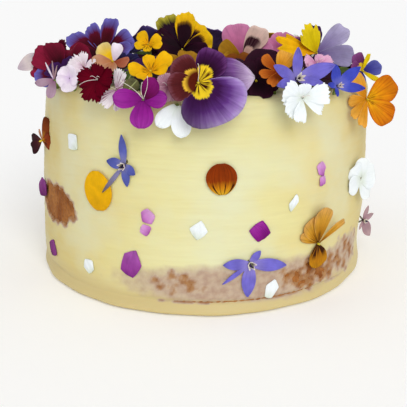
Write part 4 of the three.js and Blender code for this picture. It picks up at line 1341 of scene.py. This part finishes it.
    def single(self, mesher: Mesher, steps: int = 25) -> None:
        """Adds a lone petal: an oval, broader at its top, cupped along its middle.

        At v along it, it is as wide as sin(pi v^taper)^blunt.

        Args:
            mesher: Takes the petal.
            steps: Points across it and along it.
        """
        u = np.sin(np.pi / 2 * np.linspace(-1, 1, steps))[None, :]
        v = np.linspace(0.02, 0.985, steps)[:, None]
        x = 0.5 * self.size * u * np.sin(np.pi * v**self.taper) ** self.blunt
        z = self.cup * np.abs(x) + self.frill * self.size * np.sin(5 * u + 2) * v**3
        face = self.placed(np.stack([x, self.tall * (v - 0.5) + 0 * u, z], axis=-1))
        thickness = self.thickness * (1 - 0.6 * np.abs(2 * v - 1) ** 6) * (1 - 0.5 * np.abs(u) ** 8)
        mesher.sheet(face, thickness, u, v, self.tall * v, self.size % 1, 0)

    def _stem(self, mesher: Mesher, finish: int) -> None:
        """Adds the stem, back and down from the throat until it is in the coat.

        Args:
            mesher: Takes the stem.
            finish: Which of the flower's materials it has.
        """
        look = self.axes()[2]
        along = -look - np.array([0, 0, self.stem_drop])
        along /= np.linalg.norm(along)
        tip = np.array(self.at, dtype=float)
        length = 0.0
        while length < self.longest_stem and (
            tip[2] >= CAKE_HEIGHT or math.hypot(*tip[:2]) >= CAKE_RADIUS
        ):
            tip += along
            length += 1.0
        share = np.linspace(0, 1, 8)[:, None]
        start = np.array(self.at) - look * (self.throat * self.size + 0.3)
        path = start * (1 - share) + tip * share
        mesher.turned(tube(path, np.full(8, self.stem_radius)), 0.2, finish)

    def _thread(
        self, mesher: Mesher, path: tuple, radii: Array, finish: int, sides: int = 6
    ) -> None:
        """Adds a tube along a path, given by its x, y and z in the face's frame."""
        rings = tube(np.stack(np.broadcast_arrays(*path), axis=-1), radii, sides)
        mesher.turned(self.placed(rings), 0.3, finish)

    def _heart(self, mesher: Mesher, finishes: dict[str, int]) -> None:
        """Adds what stands at the centre of this kind of flower.

        A borage has a cone of anthers in a ring of scales, with sepals between its
        petals, a pansy or viola a stigma, and a pink two curled styles.

        Args:
            mesher: Takes the pieces.
            finishes: The number of each of the flower's materials.
        """
        depth = -self.throat * self.size
        for turn, length in self.hairs:
            v = np.linspace(0, 1, 12)
            way = math.radians(turn) + 0.16 * np.sin(2.4 * v + turn)
            path = (length * v * np.sin(way), length * v * np.cos(way), depth + 4.2 * v**0.6)
            radii = 0.12 * (1 - 0.4 * v) + 0.1 * (v > 0.95)
            self._thread(mesher, path, radii, finishes["style"])
        if self.kind is Kind.BORAGE:
            v = np.linspace(0, 1, 7)
            path = (0, 0, depth + 0.2 + 0.15 * self.size * v)
            radii = 0.036 * self.size * (1 - v) ** 0.7 + 0.12
            self._thread(mesher, path, radii, finishes["anther"], 10)
            for i in range(5):
                self._sliver(mesher, 36 + 72 * i, 0.24, 5.0, -0.06, -0.7, finishes["sepal"])
                self._sliver(mesher, 72 * i, 0.07, 22.0, 0.1, 0.4, finishes["style"])
        elif self.kind in (Kind.PANSY, Kind.VIOLA):
            v = np.linspace(0, 1, 6)
            radii = 0.55 * np.sin(np.pi * (0.25 + 0.7 * v))
            self._thread(mesher, (0, -0.3 * v, depth + 1.6 * v), radii, finishes["pollen"], 8)
        elif self.kind is Kind.DIANTHUS:
            v = np.linspace(0, 1, 10)
            for lean in (0.8, -0.8):
                side = lean * (0.06 + 2.2 * v**1.5)
                path = (side, 2.2 * v - 1.5 * v**3, depth + 3.2 * np.sin(1.9 * v))
                self._thread(mesher, path, 0.13 * (1 - 0.4 * v), finishes["style"])

    def _sliver(
        self, mesher: Mesher, turn: float, reach: float, spread: float, lift: float, up: float,
        finish: int,
    ) -> None:
        """Adds a small pointed scale or sepal, as wide as sin(pi v^0.8)^0.8 at v along it.

        Args:
            mesher: Takes it.
            turn: Which way it points, in degrees.
            reach: Its length, as a share of the flower's size.
            spread: Half its spread, in degrees.
            lift: How far its tip rises, as a share of the flower's size.
            up: How far it stands off the petals, in mm.
            finish: Which of the flower's materials it has.
        """
        u = np.linspace(-1, 1, 7)[None, :]
        v = np.linspace(0.04, 0.98, 9)[:, None]
        along = reach * self.size * v
        wide = reach * self.size * math.tan(math.radians(spread))
        side = wide * u * np.sin(np.pi * v**0.8) ** 0.8
        angle = math.radians(turn)
        x = along * math.sin(angle) + side * math.cos(angle)
        y = along * math.cos(angle) - side * math.sin(angle)
        z = self.size * (lift * v**2 - self.throat * (1 - v) ** 2) + up
        face = self.placed(np.stack(np.broadcast_arrays(x, y, z), axis=-1))
        mesher.sheet(face, 0.3, u, v, along, 0.1, finish)

    def _petals(self) -> tuple[Petal, ...]:
        """Its own petals, or the kind's with the turns, half spreads and reaches of shapes."""
        usual = self.petals or self.kind.value
        return tuple(
            replace(usual[i % 5], turn=turn, spread=spread, reach=reach)
            for i, (turn, spread, reach) in enumerate(self.shapes)
        ) or usual

    def build(self) -> None:
        mesher = Mesher()
        names = [*dict.fromkeys(self.dress), "calyx", "sepal", "anther", "style", "pollen"]
        finishes = {name: i for i, name in enumerate(names)}
        if self.kind is Kind.SINGLE:
            self.single(mesher)
        else:
            for i, petal in enumerate(self._petals()):
                self._petal(mesher, petal, finishes[self.dress[i % len(self.dress)]], i)
            self._heart(mesher, finishes)
            if not self.pressed:
                self._stem(mesher, finishes["calyx"])
        piece = mesher.piece(f"{self.name}_bloom", [material_of(name) for name in names])
        slots = {part["node"]: part["material_slot"] for part in frame["record"]["subparts"]}
        keep_piece(piece, slots[self.name], self.name)


PANSY, VIOLA, DIANTHUS, PHLOX, BORAGE, SINGLE = Kind

# Half spread of a narrow petal of a star, in degrees
POINTED = 10.5

# The flowers on top, from the outermost to those that they cover
BANK = (
    Flower(
        "pansy_violet_front", PANSY, 31, (-2, -81.5, 94.5), (3, 10),
        ("violet_upper", "violet_fold", "violet_lip", "maroon", "maroon"), cup=0.03, frill=0.006,
        hairs=((-6, 6.5),),
        petals=(
            Petal(34, 46, 0.42, -0.04), Petal(85, 21, 0.66, -0.05, outline=Outline.BLADE),
            Petal(150, 76, 0.56, 0.04, square=5, skew=0.14), Petal(258, 48, 0.36, 0.0),
            Petal(312, 46, 0.37, -0.02),
        ),
    ),
    Flower(
        "phlox_magenta_rim", PHLOX, 20, (-22.5, -79.5, 88), (-12, 10),
        ("magenta_dark", "magenta", "magenta", "magenta"),
        shapes=((36, 21, 0.45), (88, 19, 0.48), (178, 23, 0.53), (270, 19, 0.53)),
        hairs=((-42, 10), (4, 6), (20, 8.5)),
    ),
    Flower(
        "phlox_white_rim", PHLOX, 19.5, (-10, -79, 86), (-8, 4), ("white",), ruffle=0.0,
        throat=0.04, shapes=((166, 17, 0.62), (220, 17, 0.54)),
    ),
    Flower(
        "dianthus_crimson", DIANTHUS, 14, (-40, -71.5, 94), (-16, 14), ("crimson",), ruffle=0.05,
        bite=1.9, hairs=((-112, 6),),
        shapes=((2, 50, 0.43), (76, 50, 0.52), (138, 50, 0.5), (196, 44, 0.64), (276, 50, 0.56)),
    ),
    Flower(
        "dianthus_white_rim", DIANTHUS, 18.5, (37, -75.5, 88), (22, 6), ("white",),
        shapes=(
            (354, 40, 0.3), (80, 36, 0.57), (124, 26, 0.48), (200, 32, 0.5), (242, 40, 0.52),
            (288, 44, 0.55),
        ),
    ),
    Flower(
        "borage_lilac", BORAGE, 23.5, (35, -73, 95), (18, 18), ("lilac_star",), cup=0.1,
        shapes=(
            (0, POINTED, 0.47), (74, 12, 0.6), (106, POINTED, 0.38), (254, POINTED, 0.44),
            (292, POINTED, 0.5),
        ),
    ),
    Flower(
        "viola_orange_rim", VIOLA, 24, (68, -46, 83), (16, 6),
        ("orange", "orange", "orange_pale", "orange_pale", "orange_pale", "orange_pale"), cup=0.1,
        shapes=(
            (62, 46, 0.54), (134, 44, 0.53), (206, 18, 0.5), (234, 20, 0.46), (268, 24, 0.42),
            (322, 28, 0.53),
        ),
    ),
    Flower(
        "dianthus_speckled", DIANTHUS, 16, (-33.5, -70.5, 90), (-16, 8),
        ("speckled_pale", "speckled", "speckled", "speckled_pale"), bite=1.6,
        shapes=((20, 32, 0.52), (68, 26, 0.41), (160, 26, 0.5), (226, 42, 0.5)),
    ),
    Flower(
        "viola_yellow", VIOLA, 17, (-20.5, -65, 97), (-4, 36), ("yellow",), cup=0.14,
        shapes=((54, 38, 0.55), (98, 32, 0.41), (204, 46, 0.4), (262, 36, 0.47), (350, 42, 0.34)),
    ),
    Flower(
        "borage_blue", BORAGE, 16, (52.5, -60, 90.5), (24, 14), ("blue_star",), cup=0.12,
        shapes=(
            (342, 16, 0.53), (54, 12, 0.7), (100, POINTED, 0.66), (214, POINTED, 0.32),
            (276, POINTED, 0.38),
        ),
    ),
    Flower(
        "phlox_lavender", PHLOX, 12, (-52.5, -61, 93), (-20, 12), ("lavender_white",),
        shapes=((20, 30, 0.43), (90, 30, 0.4), (168, 32, 0.45), (238, 30, 0.39), (314, 30, 0.4)),
    ),
    Flower(
        "phlox_mauve", PHLOX, 11.5, (-60.5, -52, 91), (-20, 4),
        ("mauve_pale", "mauve_pink", "mauve_pink", "lavender_white", "mauve_pale"),
        shapes=((24, 3.4, 0.56), (188, 17, 0.62), (256, 12, 0.68), (338, 3.4, 0.64), (2, 3, 0.66)),
    ),
    Flower(
        "viola_dark_front", VIOLA, 19, (20, -66.5, 93.5), (12, 20), ("night",), ruffle=0.06,
        shapes=((32, 52, 0.47), (92, 52, 0.48), (170, 58, 0.44), (246, 50, 0.49), (318, 52, 0.46)),
    ),
    Flower(
        "dianthus_striped", DIANTHUS, 10.5, (-13.5, -74.5, 92), (-6, 18), ("striped",),
        shapes=((8, 42, 0.48), (98, 42, 0.36), (168, 42, 0.58), (230, 42, 0.42), (314, 42, 0.46)),
    ),
    Flower(
        "leaf_rim", SINGLE, 6, (-27, -75, 91.5), (-12, 18), ("leaf_dull",), -40, tall=7.5, cup=0.3,
    ),
    Flower(
        "dianthus_pale", DIANTHUS, 14.5, (-47.5, -57, 97.5), (-26, 34), ("pale_pink",), ruffle=0.08,
        bite=2.2,
        shapes=((350, 48, 0.36), (80, 48, 0.42), (138, 48, 0.38), (218, 48, 0.36), (278, 48, 0.5)),
    ),
    Flower(
        "viola_peach", VIOLA, 15, (-36, -56, 99.5), (-12, 34),
        ("lavender_white", "peach_rust", "peach", "peach", "yellow_pale"), cup=0.16,
        shapes=((18, 36, 0.46), (106, 30, 0.54), (180, 50, 0.45), (250, 48, 0.49), (314, 44, 0.52)),
    ),
    Flower(
        "viola_orange", VIOLA, 15.5, (28, -70, 97.5), (10, 30),
        ("orange_pale", "rust_edge", "rust_edge", "rust_edge", "rust_edge"), cup=0.12,
        shapes=((32, 46, 0.53), (180, 28, 0.47), (216, 22, 0.57), (254, 22, 0.55), (310, 26, 0.52)),
    ),
    Flower(
        "dianthus_pink", DIANTHUS, 12.5, (44.5, -55, 98.5), (20, 36), ("rose",),
        shapes=((30, 46, 0.32), (88, 46, 0.55), (146, 46, 0.38), (230, 46, 0.46), (278, 46, 0.5)),
    ),
    Flower(
        "viola_blue", VIOLA, 15.5, (67.5, -34, 93.5), (22, 24),
        ("yellow_toothed", "indigo", "yellow_toothed", "indigo", "plum", "plum"), cup=0.1,
        petals=(
            Petal(20, 16, 0.42, 0.08), Petal(84, 44, 0.5), Petal(142, 18, 0.45, 0.08),
            Petal(220, 48, 0.42), Petal(284, 46, 0.42, -0.03), Petal(336, 46, 0.5, -0.05),
        ),
    ),
    Flower(
        "pansy_burgundy", PANSY, 30, (-61.5, -30, 92.5), (-14, 30),
        (
            "burgundy", "burgundy", "burgundy", "burgundy", "burgundy_blue_rim", "burgundy_red",
            "burgundy_red", "burgundy",
        ),
        cup=0.06, ruffle=0.05, waves=5, frill=0.014,
        shapes=(
            (20, 36, 0.34), (54, 36, 0.5), (90, 48, 0.51), (142, 52, 0.32), (246, 40, 0.39),
            (270, 34, 0.46), (298, 34, 0.5), (336, 36, 0.4),
        ),
    ),
    Flower(
        "petal_pale", SINGLE, 7.5, (-76.5, -22, 94.5), (-10, 24), ("pale_curl",), -62, tall=12.5,
        cup=0.2,
    ),
    Flower(
        "pansy_blue", PANSY, 35, (-49.5, 4, 97), (-18, 32),
        (
            "burgundy_blue_rim", "burgundy_blue_rim", "burgundy", "burgundy", "burgundy_blue_rim",
            "burgundy_blue_rim", "burgundy_blue_rim",
        ),
        cup=0.06, ruffle=0.04, waves=6, frill=0.014,
        shapes=(
            (62, 34, 0.49), (92, 36, 0.48), (160, 54, 0.26), (254, 42, 0.41), (292, 25, 0.55),
            (328, 25, 0.46), (14, 26, 0.5),
        ),
    ),
    Flower("viola_blue_middle", VIOLA, 17, (-37, -12, 94), (-10, 62), ("night_blue",)),
    Flower(
        "pansy_dark_yellow", PANSY, 32, (-11, 14, 98.5), (-4, 30),
        (
            "night_gold_rim", "night_gold_rim", "night", "night", "night", "night_gold_tip",
            "night_gold_rim",
        ),
        cup=0.06, ruffle=0.03, waves=6, frill=0.03,
        shapes=(
            (38, 32, 0.49), (76, 36, 0.48), (118, 50, 0.42), (238, 46, 0.38), (286, 42, 0.48),
            (329, 31, 0.6), (6, 30, 0.53),
        ),
    ),
    Flower(
        "viola_yellow_middle", VIOLA, 14.5, (-26.5, 3, 101), (-8, 30), ("yellow",),
        shapes=((54, 36, 0.47), (100, 32, 0.49), (176, 44, 0.34), (252, 36, 0.44), (318, 40, 0.5)),
    ),
    Flower(
        "pansy_mauve", PANSY, 29, (19, 10, 94), (6, 30),
        ("cream_fold", "mauve", "peach", "olive_gold", "olive_gold", "mauve"), cup=0.1, ruffle=0.03,
        petals=(
            Petal(36, 34, 0.56, 0.06), Petal(74, 42, 0.5, -0.02), Petal(122, 46, 0.34),
            Petal(250, 46, 0.36, 0.04), Petal(290, 40, 0.44), Petal(344, 50, 0.56, 0.03),
        ),
    ),
    Flower(
        "viola_pink", VIOLA, 20, (40.5, 30, 97.5), (12, 30), ("mauve",),
        shapes=((36, 48, 0.42), (86, 48, 0.52), (188, 48, 0.36), (268, 48, 0.52), (328, 48, 0.42)),
    ),
    Flower(
        "pansy_lavender", PANSY, 36, (52, -10, 99.5), (14, 30),
        (
            "lavender", "lavender_deep", "night_violet", "yellow_orange", "yellow_toothed",
            "night_violet",
        ),
        cup=0.05,
        petals=(
            Petal(56, 27, 0.48, -0.02), Petal(106, 32, 0.46, 0.0), Petal(184, 46, 0.34, -0.04),
            Petal(276, 24, 0.6, 0.03, teeth=4, tooth=0.24),
            Petal(326, 52, 0.35, 0.06, teeth=7, tooth=0.26), Petal(0, 26, 0.36, -0.05),
        ),
    ),
    Flower("viola_dark_middle", VIOLA, 27, (-20, -39, 93.4), (-6, 70), ("night_violet",), 25),
    Flower("pansy_plum_right", PANSY, 36, (61, 20, 95), (94, 60), ("plum",)),
    Flower("dianthus_white_back", DIANTHUS, 22, (66, 42, 92), (120, 34), ("white_pink",), 30),
    Flower("pansy_yellow_back", PANSY, 38, (36, 50, 96), (146, 60), ("gold",), 10),
    Flower("phlox_magenta_back", PHLOX, 23, (20, 74, 91.4), (165, 30), ("magenta",), 20),
    Flower("pansy_violet_back", PANSY, 38, (-1, 50, 97.4), (180, 60), ("violet",), -12),
    Flower("viola_orange_back", VIOLA, 24, (-17, 74, 91.4), (-167, 30), ("orange",), 25),
    Flower(
        "pansy_burgundy_back", PANSY, 39, (-38, 46, 96), (-144, 60), ("burgundy",), ruffle=0.08,
        waves=5,
    ),
    Flower("borage_back", BORAGE, 27, (-62, 46, 93), (-126, 34), ("blue_star",), 12),
    Flower("dianthus_crimson_left", DIANTHUS, 21, (-74, 22, 91.6), (-104, 30), ("crimson",)),
    Flower("phlox_white_back", PHLOX, 21, (52, 62, 91), (140, 24), ("white",)),
    Flower("pansy_violet_middle", PANSY, 37, (21, -25, 92.8), (-10, 82), ("night",), 150, cup=0.04),
    Flower("viola_olive_middle", VIOLA, 31, (-9, -9, 93.4), (20, 78), ("olive_gold",), 60),
    Flower("dianthus_rose_middle", DIANTHUS, 23, (3, -50, 92.4), (0, 72), ("rose",)),
    Flower("viola_rust_middle", VIOLA, 25, (15, -1, 93.2), (10, 76), ("rust_deep",), 40),
    Flower("viola_dark_left", VIOLA, 23, (-58, -40, 92.6), (-44, 58), ("night_violet",)),
    Flower("viola_dark_right", VIOLA, 24, (44, -44, 92.4), (34, 64), ("night",)),
)


def on_wall(
    name: str, kind: Kind, size: float, azimuth: float, z: float, roll: float,
    dress: tuple[str, ...], faces: float | None = None, out: float = 0.7, **more: object,
) -> Flower:
    """A flower pressed on the side.

    Args:
        name: Its node.
        kind: Its kind.
        size: Its size, in mm.
        azimuth: Where it lies round the cake, in degrees.
        z: Its height, in mm.
        roll: How far it is turned on the wall, in degrees.
        dress: Its petals' finishes.
        faces: The azimuth that it looks to, if that isn't straight off the wall.
        out: How far it stands off the wall, in mm.
        more: Other fields of the flower.

    Returns:
        The flower.
    """
    at = tuple(on_side(azimuth, z, out).tolist())
    flat = {"cup": 0.02, "ruffle": 0.0, "throat": 0.0, "frill": 0.004, "thickness": 0.4}
    face = (azimuth if faces is None else faces, 0.0)
    return Flower(name, kind, size, at, face, dress, roll, pressed=True, **{**flat, **more})


# The flowers and large petals on the side
PRESSED = (
    on_wall(
        "viola_side_left", VIOLA, 20, -69, 61, 0,
        ("rust", "amber", "maroon_dark", "maroon_dark", "peach"), -50, 2,
        shapes=((30, 38, 0.58), (84, 46, 0.42), (238, 30, 0.52), (266, 26, 0.5), (316, 16, 0.3)),
    ),
    on_wall(
        "borage_side_left", BORAGE, 24, -23.7, 60.8, 0,
        ("faded_star", "faded_star", "faded_star", "faded_stalk", "faded_star"),
        shapes=(
            (358, 8, 0.51), (120, 18, 0.25), (170, 12, 0.35), (220, 3.5, 0.66), (278, 16, 0.32),
        ),
    ),
    on_wall(
        "petal_yellow_side", SINGLE, 14.4, -33.4, 48.6, 6, ("yellow_petal",), tall=17, taper=1.0,
        blunt=0.5,
    ),
    on_wall(
        "petal_amber_side", SINGLE, 12, 5.1, 57.2, 4, ("amber",), tall=12.8, taper=1.12, blunt=0.46,
    ),
    on_wall(
        "borage_side_front", BORAGE, 27, 13.9, 22, 0, ("lilac_star",),
        shapes=((36, 14, 0.25), (98, 10, 0.58), (184, 12, 0.52), (236, 4, 0.51), (272, 12, 0.41)),
    ),
    on_wall(
        "viola_side_gold", VIOLA, 25, 37.4, 25.8, 0,
        ("gold_tan", "gold_tan", "gold_tan", "gold_lip", "gold_tan"),
        petals=(
            Petal(336, 40, 0.5), Petal(6, 32, 0.63, 0.06), Petal(58, 11, 0.61, 0.1),
            Petal(174, 52, 0.43), Petal(300, 22, 0.42, -0.02),
        ),
    ),
    on_wall(
        "phlox_white_side", PHLOX, 18, 59, 48, 0, ("white",), 42, 2.8,
        shapes=((6, 28, 0.5), (92, 28, 0.62), (138, 24, 0.66), (244, 28, 0.5), (310, 28, 0.48)),
    ),
    on_wall(
        "borage_mauve_side", BORAGE, 17, 79, 19.8, 0, ("mauve_pale",), 38, 1.8,
        shapes=((20, 12, 0.44), (72, 12, 0.42), (148, 16, 0.62), (220, 10, 0.3)),
    ),
    on_wall("petal_violet_side", SINGLE, 12, 112, 57, -20, ("violet_fleck",), tall=14),
    on_wall("borage_side_back", BORAGE, 25, 152, 42, 30, ("lilac_star",)),
    on_wall("viola_side_back", VIOLA, 21, -172, 27, -20, ("gold_tan",)),
    on_wall(
        "petal_yellow_back", SINGLE, 12, -128, 44, -25, ("yellow_petal",), tall=16, taper=1.0,
        blunt=0.5,
    ),
)


@dataclass(frozen=True)
class BankLeavesAndShadePetals:
    """Leaves and dark petals that lie low between the flowers and close their gaps. The
    near-black and dark burgundy petals are painted shade: dark sheets where shade falls.

    None lies under a flower's middle, where it would come up through its face.
    """

    seed: int = 53
    kinds: tuple[tuple[str, str, int], ...] = (
        ("leaf", "leaf", 190),
        # Painted shade: near-black and dark burgundy petals in the gaps between the flowers
        ("night", "petal_dark", 200),
        ("burgundy", "petal_crimson", 90),
    )
    reach: float = CAKE_RADIUS - 11
    golden_turn: float = 137.5
    clear_share: float = 0.36

    def build(self) -> None:
        """Makes one piece of each kind, scattered evenly over the top by area."""
        draw = np.random.default_rng(self.seed)
        for finish, slot, count in self.kinds:
            mesher = Mesher()
            for i in range(count):
                radius = self.reach * math.sqrt((i + draw.uniform()) / count)
                azimuth = self.golden_turn * i + draw.uniform(-20, 20)
                wide, up = draw.uniform(6.5, 10), draw.uniform(1.2, 4.8)
                face = (draw.uniform(-60, 60), draw.uniform(54, 87))
                lean, cup = draw.uniform(-90, 90), draw.uniform(0.1, 0.4)
                tall = wide * draw.uniform(1.2, 1.7)
                at = tuple(round_axis(azimuth, radius, CAKE_HEIGHT + up).tolist())
                if all(
                    math.dist(at[:2], flower.at[:2]) >= self.clear_share * flower.size
                    for flower in BANK
                ):
                    leaf = Flower("fill", SINGLE, wide, at, face, (finish,), lean, cup, tall=tall)
                    leaf.single(mesher, 11)
            keep_piece(mesher.piece(f"fill_{finish}", [material_of(finish)]), slot)


@dataclass(frozen=True)
class WallPetal:
    """A small petal pressed in the side, whose left side may stand off it by a lift in mm."""

    azimuth: float
    z: float
    wide: float
    high: float
    lean: float
    finish: str
    lift: float = 0.0

    def distance(self, flower: Flower) -> float:
        """How far off along the wall a pressed flower lies.

        Args:
            flower: The flower.

        Returns:
            The distance between their middles, in mm.
        """
        azimuth = math.degrees(math.atan2(flower.at[0], -flower.at[1]))
        along = math.radians(wrapped(self.azimuth - azimuth)) * CAKE_RADIUS
        return math.hypot(along, self.z - flower.at[2])


FRONT_PETALS = (
    WallPetal(-45, 66.3, 8, 7.6, 48, "white"),
    WallPetal(-38.6, 14.4, 6.2, 6.2, 25, "white"),
    WallPetal(-1.3, 36.8, 6.8, 7.4, -20, "white"),
    WallPetal(21, 9.6, 5.6, 8.2, -25, "white"),
    WallPetal(27.5, 45.4, 3.6, 7.2, -30, "white"),
    WallPetal(-71, 38.6, 11, 8.6, 15, "violet_fleck", 1.9),
    WallPetal(-61, 13.6, 8.6, 9, -52, "violet_fleck"),
    WallPetal(-22.2, 20.2, 9, 12, -15, "magenta_soft"),
    WallPetal(16.8, 35.2, 8.6, 8.6, 40, "magenta"),
    WallPetal(-16.4, 41.2, 6.4, 5.6, -60, "pink_fleck"),
    WallPetal(-17.2, 35.6, 5.2, 4.6, 60, "pink_fleck"),
    WallPetal(38, 57.2, 4.8, 6, 20, "pink_fleck"),
    WallPetal(38.6, 52.2, 3.8, 4.6, -10, "pink_fleck"),
)


@dataclass(frozen=True)
class WallPetals:
    """The small petals all round the side, front ones as photographed."""

    first: int = 98
    last: int = 273
    cell_degrees: int = 25
    levels: tuple[int, ...] = (18, 38, 59)
    seed: int = 4127
    left_out: float = 0.35
    room: float = 7.0
    thickness: float = 0.35
    corner: float = 0.75

    def _draws(self) -> Iterator[float]:
        """Draws seeded numbers, by the rule that places the solids.

        Yields:
            The next number, from 0 to 1.
        """
        state = self.seed
        while True:
            state = (state * 16807) % 2147483647
            yield state / 2147483647

    def back(self) -> list[WallPetal]:
        """Scatters the petals of the back.

        Returns:
            One for each cell of a loose grid, with some left out, and none near a flower.
        """
        draws = self._draws()
        finishes = ("white", "pink_fleck", "magenta", "violet_fleck", "white")
        found = []
        for azimuth in range(self.first, self.last, self.cell_degrees):
            for level in self.levels:
                shift, lift, size, lean, keep = (next(draws) for _ in range(5))
                if keep < self.left_out:
                    continue
                place = (azimuth + 12 * (shift - 0.5), level + 10 * (lift - 0.5))
                shape = (4.5 + 4 * size, 5.5 + 4.5 * size, 90 * (lean - 0.5))
                found.append(WallPetal(*place, *shape, finishes[len(found) % len(finishes)]))
        return [
            petal
            for petal in found
            if all(petal.distance(flower) > flower.size / 2 + self.room for flower in PRESSED)
        ]

    def _add(self, mesher: Mesher, petal: WallPetal, index: int) -> None:
        """Lays an oval with blunt corners on the wall, bulging 0.3 mm at its middle.

        An oval's points are drawn in toward a regular outline of four or five straight
        sides: at an angle t from a side's middle that outline lies at cos(half) / cos(t)
        of the oval, with half the angle from a side's middle to its corner.

        Args:
            mesher: Takes the petal.
            petal: The petal.
            index: Its number, which picks its sides, their turn and its ripple.
        """
        u = np.sin(np.pi / 2 * np.linspace(-1, 1, 25))[None, :]
        v = 0.5 + 0.5 * np.sin(np.pi / 2 * np.linspace(-0.97, 0.97, 25))[:, None]
        x = u * np.sqrt(1 - (2 * v - 1) ** 2)
        y = 2 * v - 1 + 0 * u
        half = math.pi / (4 + index % 2)
        angle = (np.arctan2(y, x) + 0.7 * index) % (2 * half) - half
        cut = 1.06 * (1 - self.corner + self.corner * math.cos(half) / np.cos(angle))
        x = 0.5 * petal.wide * x * cut * (1 + 0.16 * y * math.sin(2.4 * index))
        y = 0.5 * petal.high * y * cut
        lean = math.radians(petal.lean)
        side = x * math.cos(lean) - y * math.sin(lean)
        z = petal.z + x * math.sin(lean) + y * math.cos(lean)
        azimuth = petal.azimuth + np.degrees(side / CAKE_RADIUS)
        bulge = 0.3 * (1 - u**2) * (1 - (2 * v - 1) ** 2) + 0.12 * np.sin(6 * u + 5 * v + index)
        lifted = petal.lift * smoothstep(-side / petal.wide, -0.3, 0.5)
        out = 0.35 + bulge + lifted + side_relief(wrapped(azimuth), z)
        face = on_side(azimuth, z, out)
        mesher.sheet(face, self.thickness, u, v, petal.high * v, 0.3 * index, 0)

    def build(self) -> None:
        """Makes one piece for each finish, all standing for the coat they are fused to."""
        petals = [*FRONT_PETALS, *self.back()]
        for finish in dict.fromkeys(petal.finish for petal in petals):
            mesher = Mesher()
            for index, petal in enumerate(petals):
                if petal.finish == finish:
                    self._add(mesher, petal, index)
            piece = mesher.piece(f"wall_petals_{finish}", [material_of(finish)])
            keep_piece(piece, f"petal_{finish.split('_')[0]}", "buttercream")


# The stage


@dataclass(frozen=True)
class Studio:
    """A plain pale floor, soft light and the camera at the photographed angle."""

    lens: float = 61.6
    camera_at: tuple[float, float, float] = (0.0, -331.9, 128.7)
    pitch: float = 17.65
    roll: float = 0.29
    view_far: float = 60.0
    floor_half: float = 12000.0
    floor_colour: str = "fdfdfd"
    floor_glow: float = 0.06
    horizon: float = 0.946
    zenith: float = 0.605
    sky_blend: float = 0.35
    key_from: tuple[float, float] = (14.0, 34.0)
    key_strength: float = 1.6
    key_width: float = 38.0

    def build(self) -> None:
        """Makes the camera, the floor, the light and the sky."""
        scene = bpy.context.scene
        scene.view_settings.view_transform = "Standard"
        data = bpy.data.cameras.new("camera")
        data.lens = self.lens
        data.clip_end = self.view_far
        camera = bpy.data.objects.new("camera", data)
        camera.location = [value * MM for value in self.camera_at]
        camera.rotation_mode = "ZXY"
        camera.rotation_euler = (math.radians(90 - self.pitch), 0, 0)
        camera.rotation_euler.rotate_axis("Z", math.radians(self.roll))
        scene.collection.objects.link(camera)
        scene.camera = camera
        self._floor()
        self._key_light()
        self._sky(scene)

    def _sky(self, scene: bpy.types.Scene) -> None:
        """Makes a white sky, brightest along the horizon, where it meets the floor.

        Args:
            scene: Gets the sky as its world.
        """
        world = bpy.data.worlds.new("sky")
        scene.world = world
        world.use_nodes = True
        world.node_tree.nodes.clear()
        node = partial(add_node, world.node_tree)
        height = node("SeparateXYZ", {0: node("TexCoord").outputs["Generated"]}).outputs[2]
        span = {0: height, 1: 0.0, 2: self.sky_blend, 3: self.horizon, 4: self.zenith}
        strength = node("MapRange", span)
        node("OutputWorld", {0: node("Background", {0: (1, 1, 1, 1), 1: strength})})

    def _floor(self) -> None:
        """Lays a wide level sheet of white acrylic, lit a little from below."""
        mesher = Mesher()
        u, v = np.meshgrid([-1.0, 1.0], [-1.0, 1.0])
        face = np.stack([u * self.floor_half, v * self.floor_half, 0 * u - 1.0], axis=-1)
        mesher.sheet(face, 2.0, u, v, 0.0, 0.0, 0)
        material, node = new_material("matt white acrylic lit from below")
        diffuse = node("BsdfDiffuse", {"Color": linear(self.floor_colour)})
        glow = node("Emission", {"Color": (1, 1, 1, 1), "Strength": self.floor_glow})
        node("OutputMaterial", {"Surface": node("AddShader", {0: diffuse, 1: glow})})
        floor = mesher.piece("floor", [material])
        floor.data.shade_flat()

    def _key_light(self) -> None:
        """Hangs a wide far softbox, so that the floor is evenly lit."""
        azimuth, elevation = self.key_from
        data = bpy.data.lights.new("key softbox", "SUN")
        data.angle = math.radians(self.key_width)
        data.energy = self.key_strength
        lamp = bpy.data.objects.new("key softbox", data)
        lamp.rotation_euler = (math.radians(90 - elevation), 0, math.radians(azimuth))
        bpy.context.scene.collection.objects.link(lamp)


def main() -> None:
    """Builds the cake, its flowers and the studio, in that order."""
    logging.basicConfig(level=logging.INFO, format="%(name)s %(message)s")
    Sponge().build()
    Coat().build()
    for flower in BANK + PRESSED:
        flower.build()
    WallPetals().build()
    BankLeavesAndShadePetals().build()
    Studio().build()


if __name__ == "__main__":
    main()
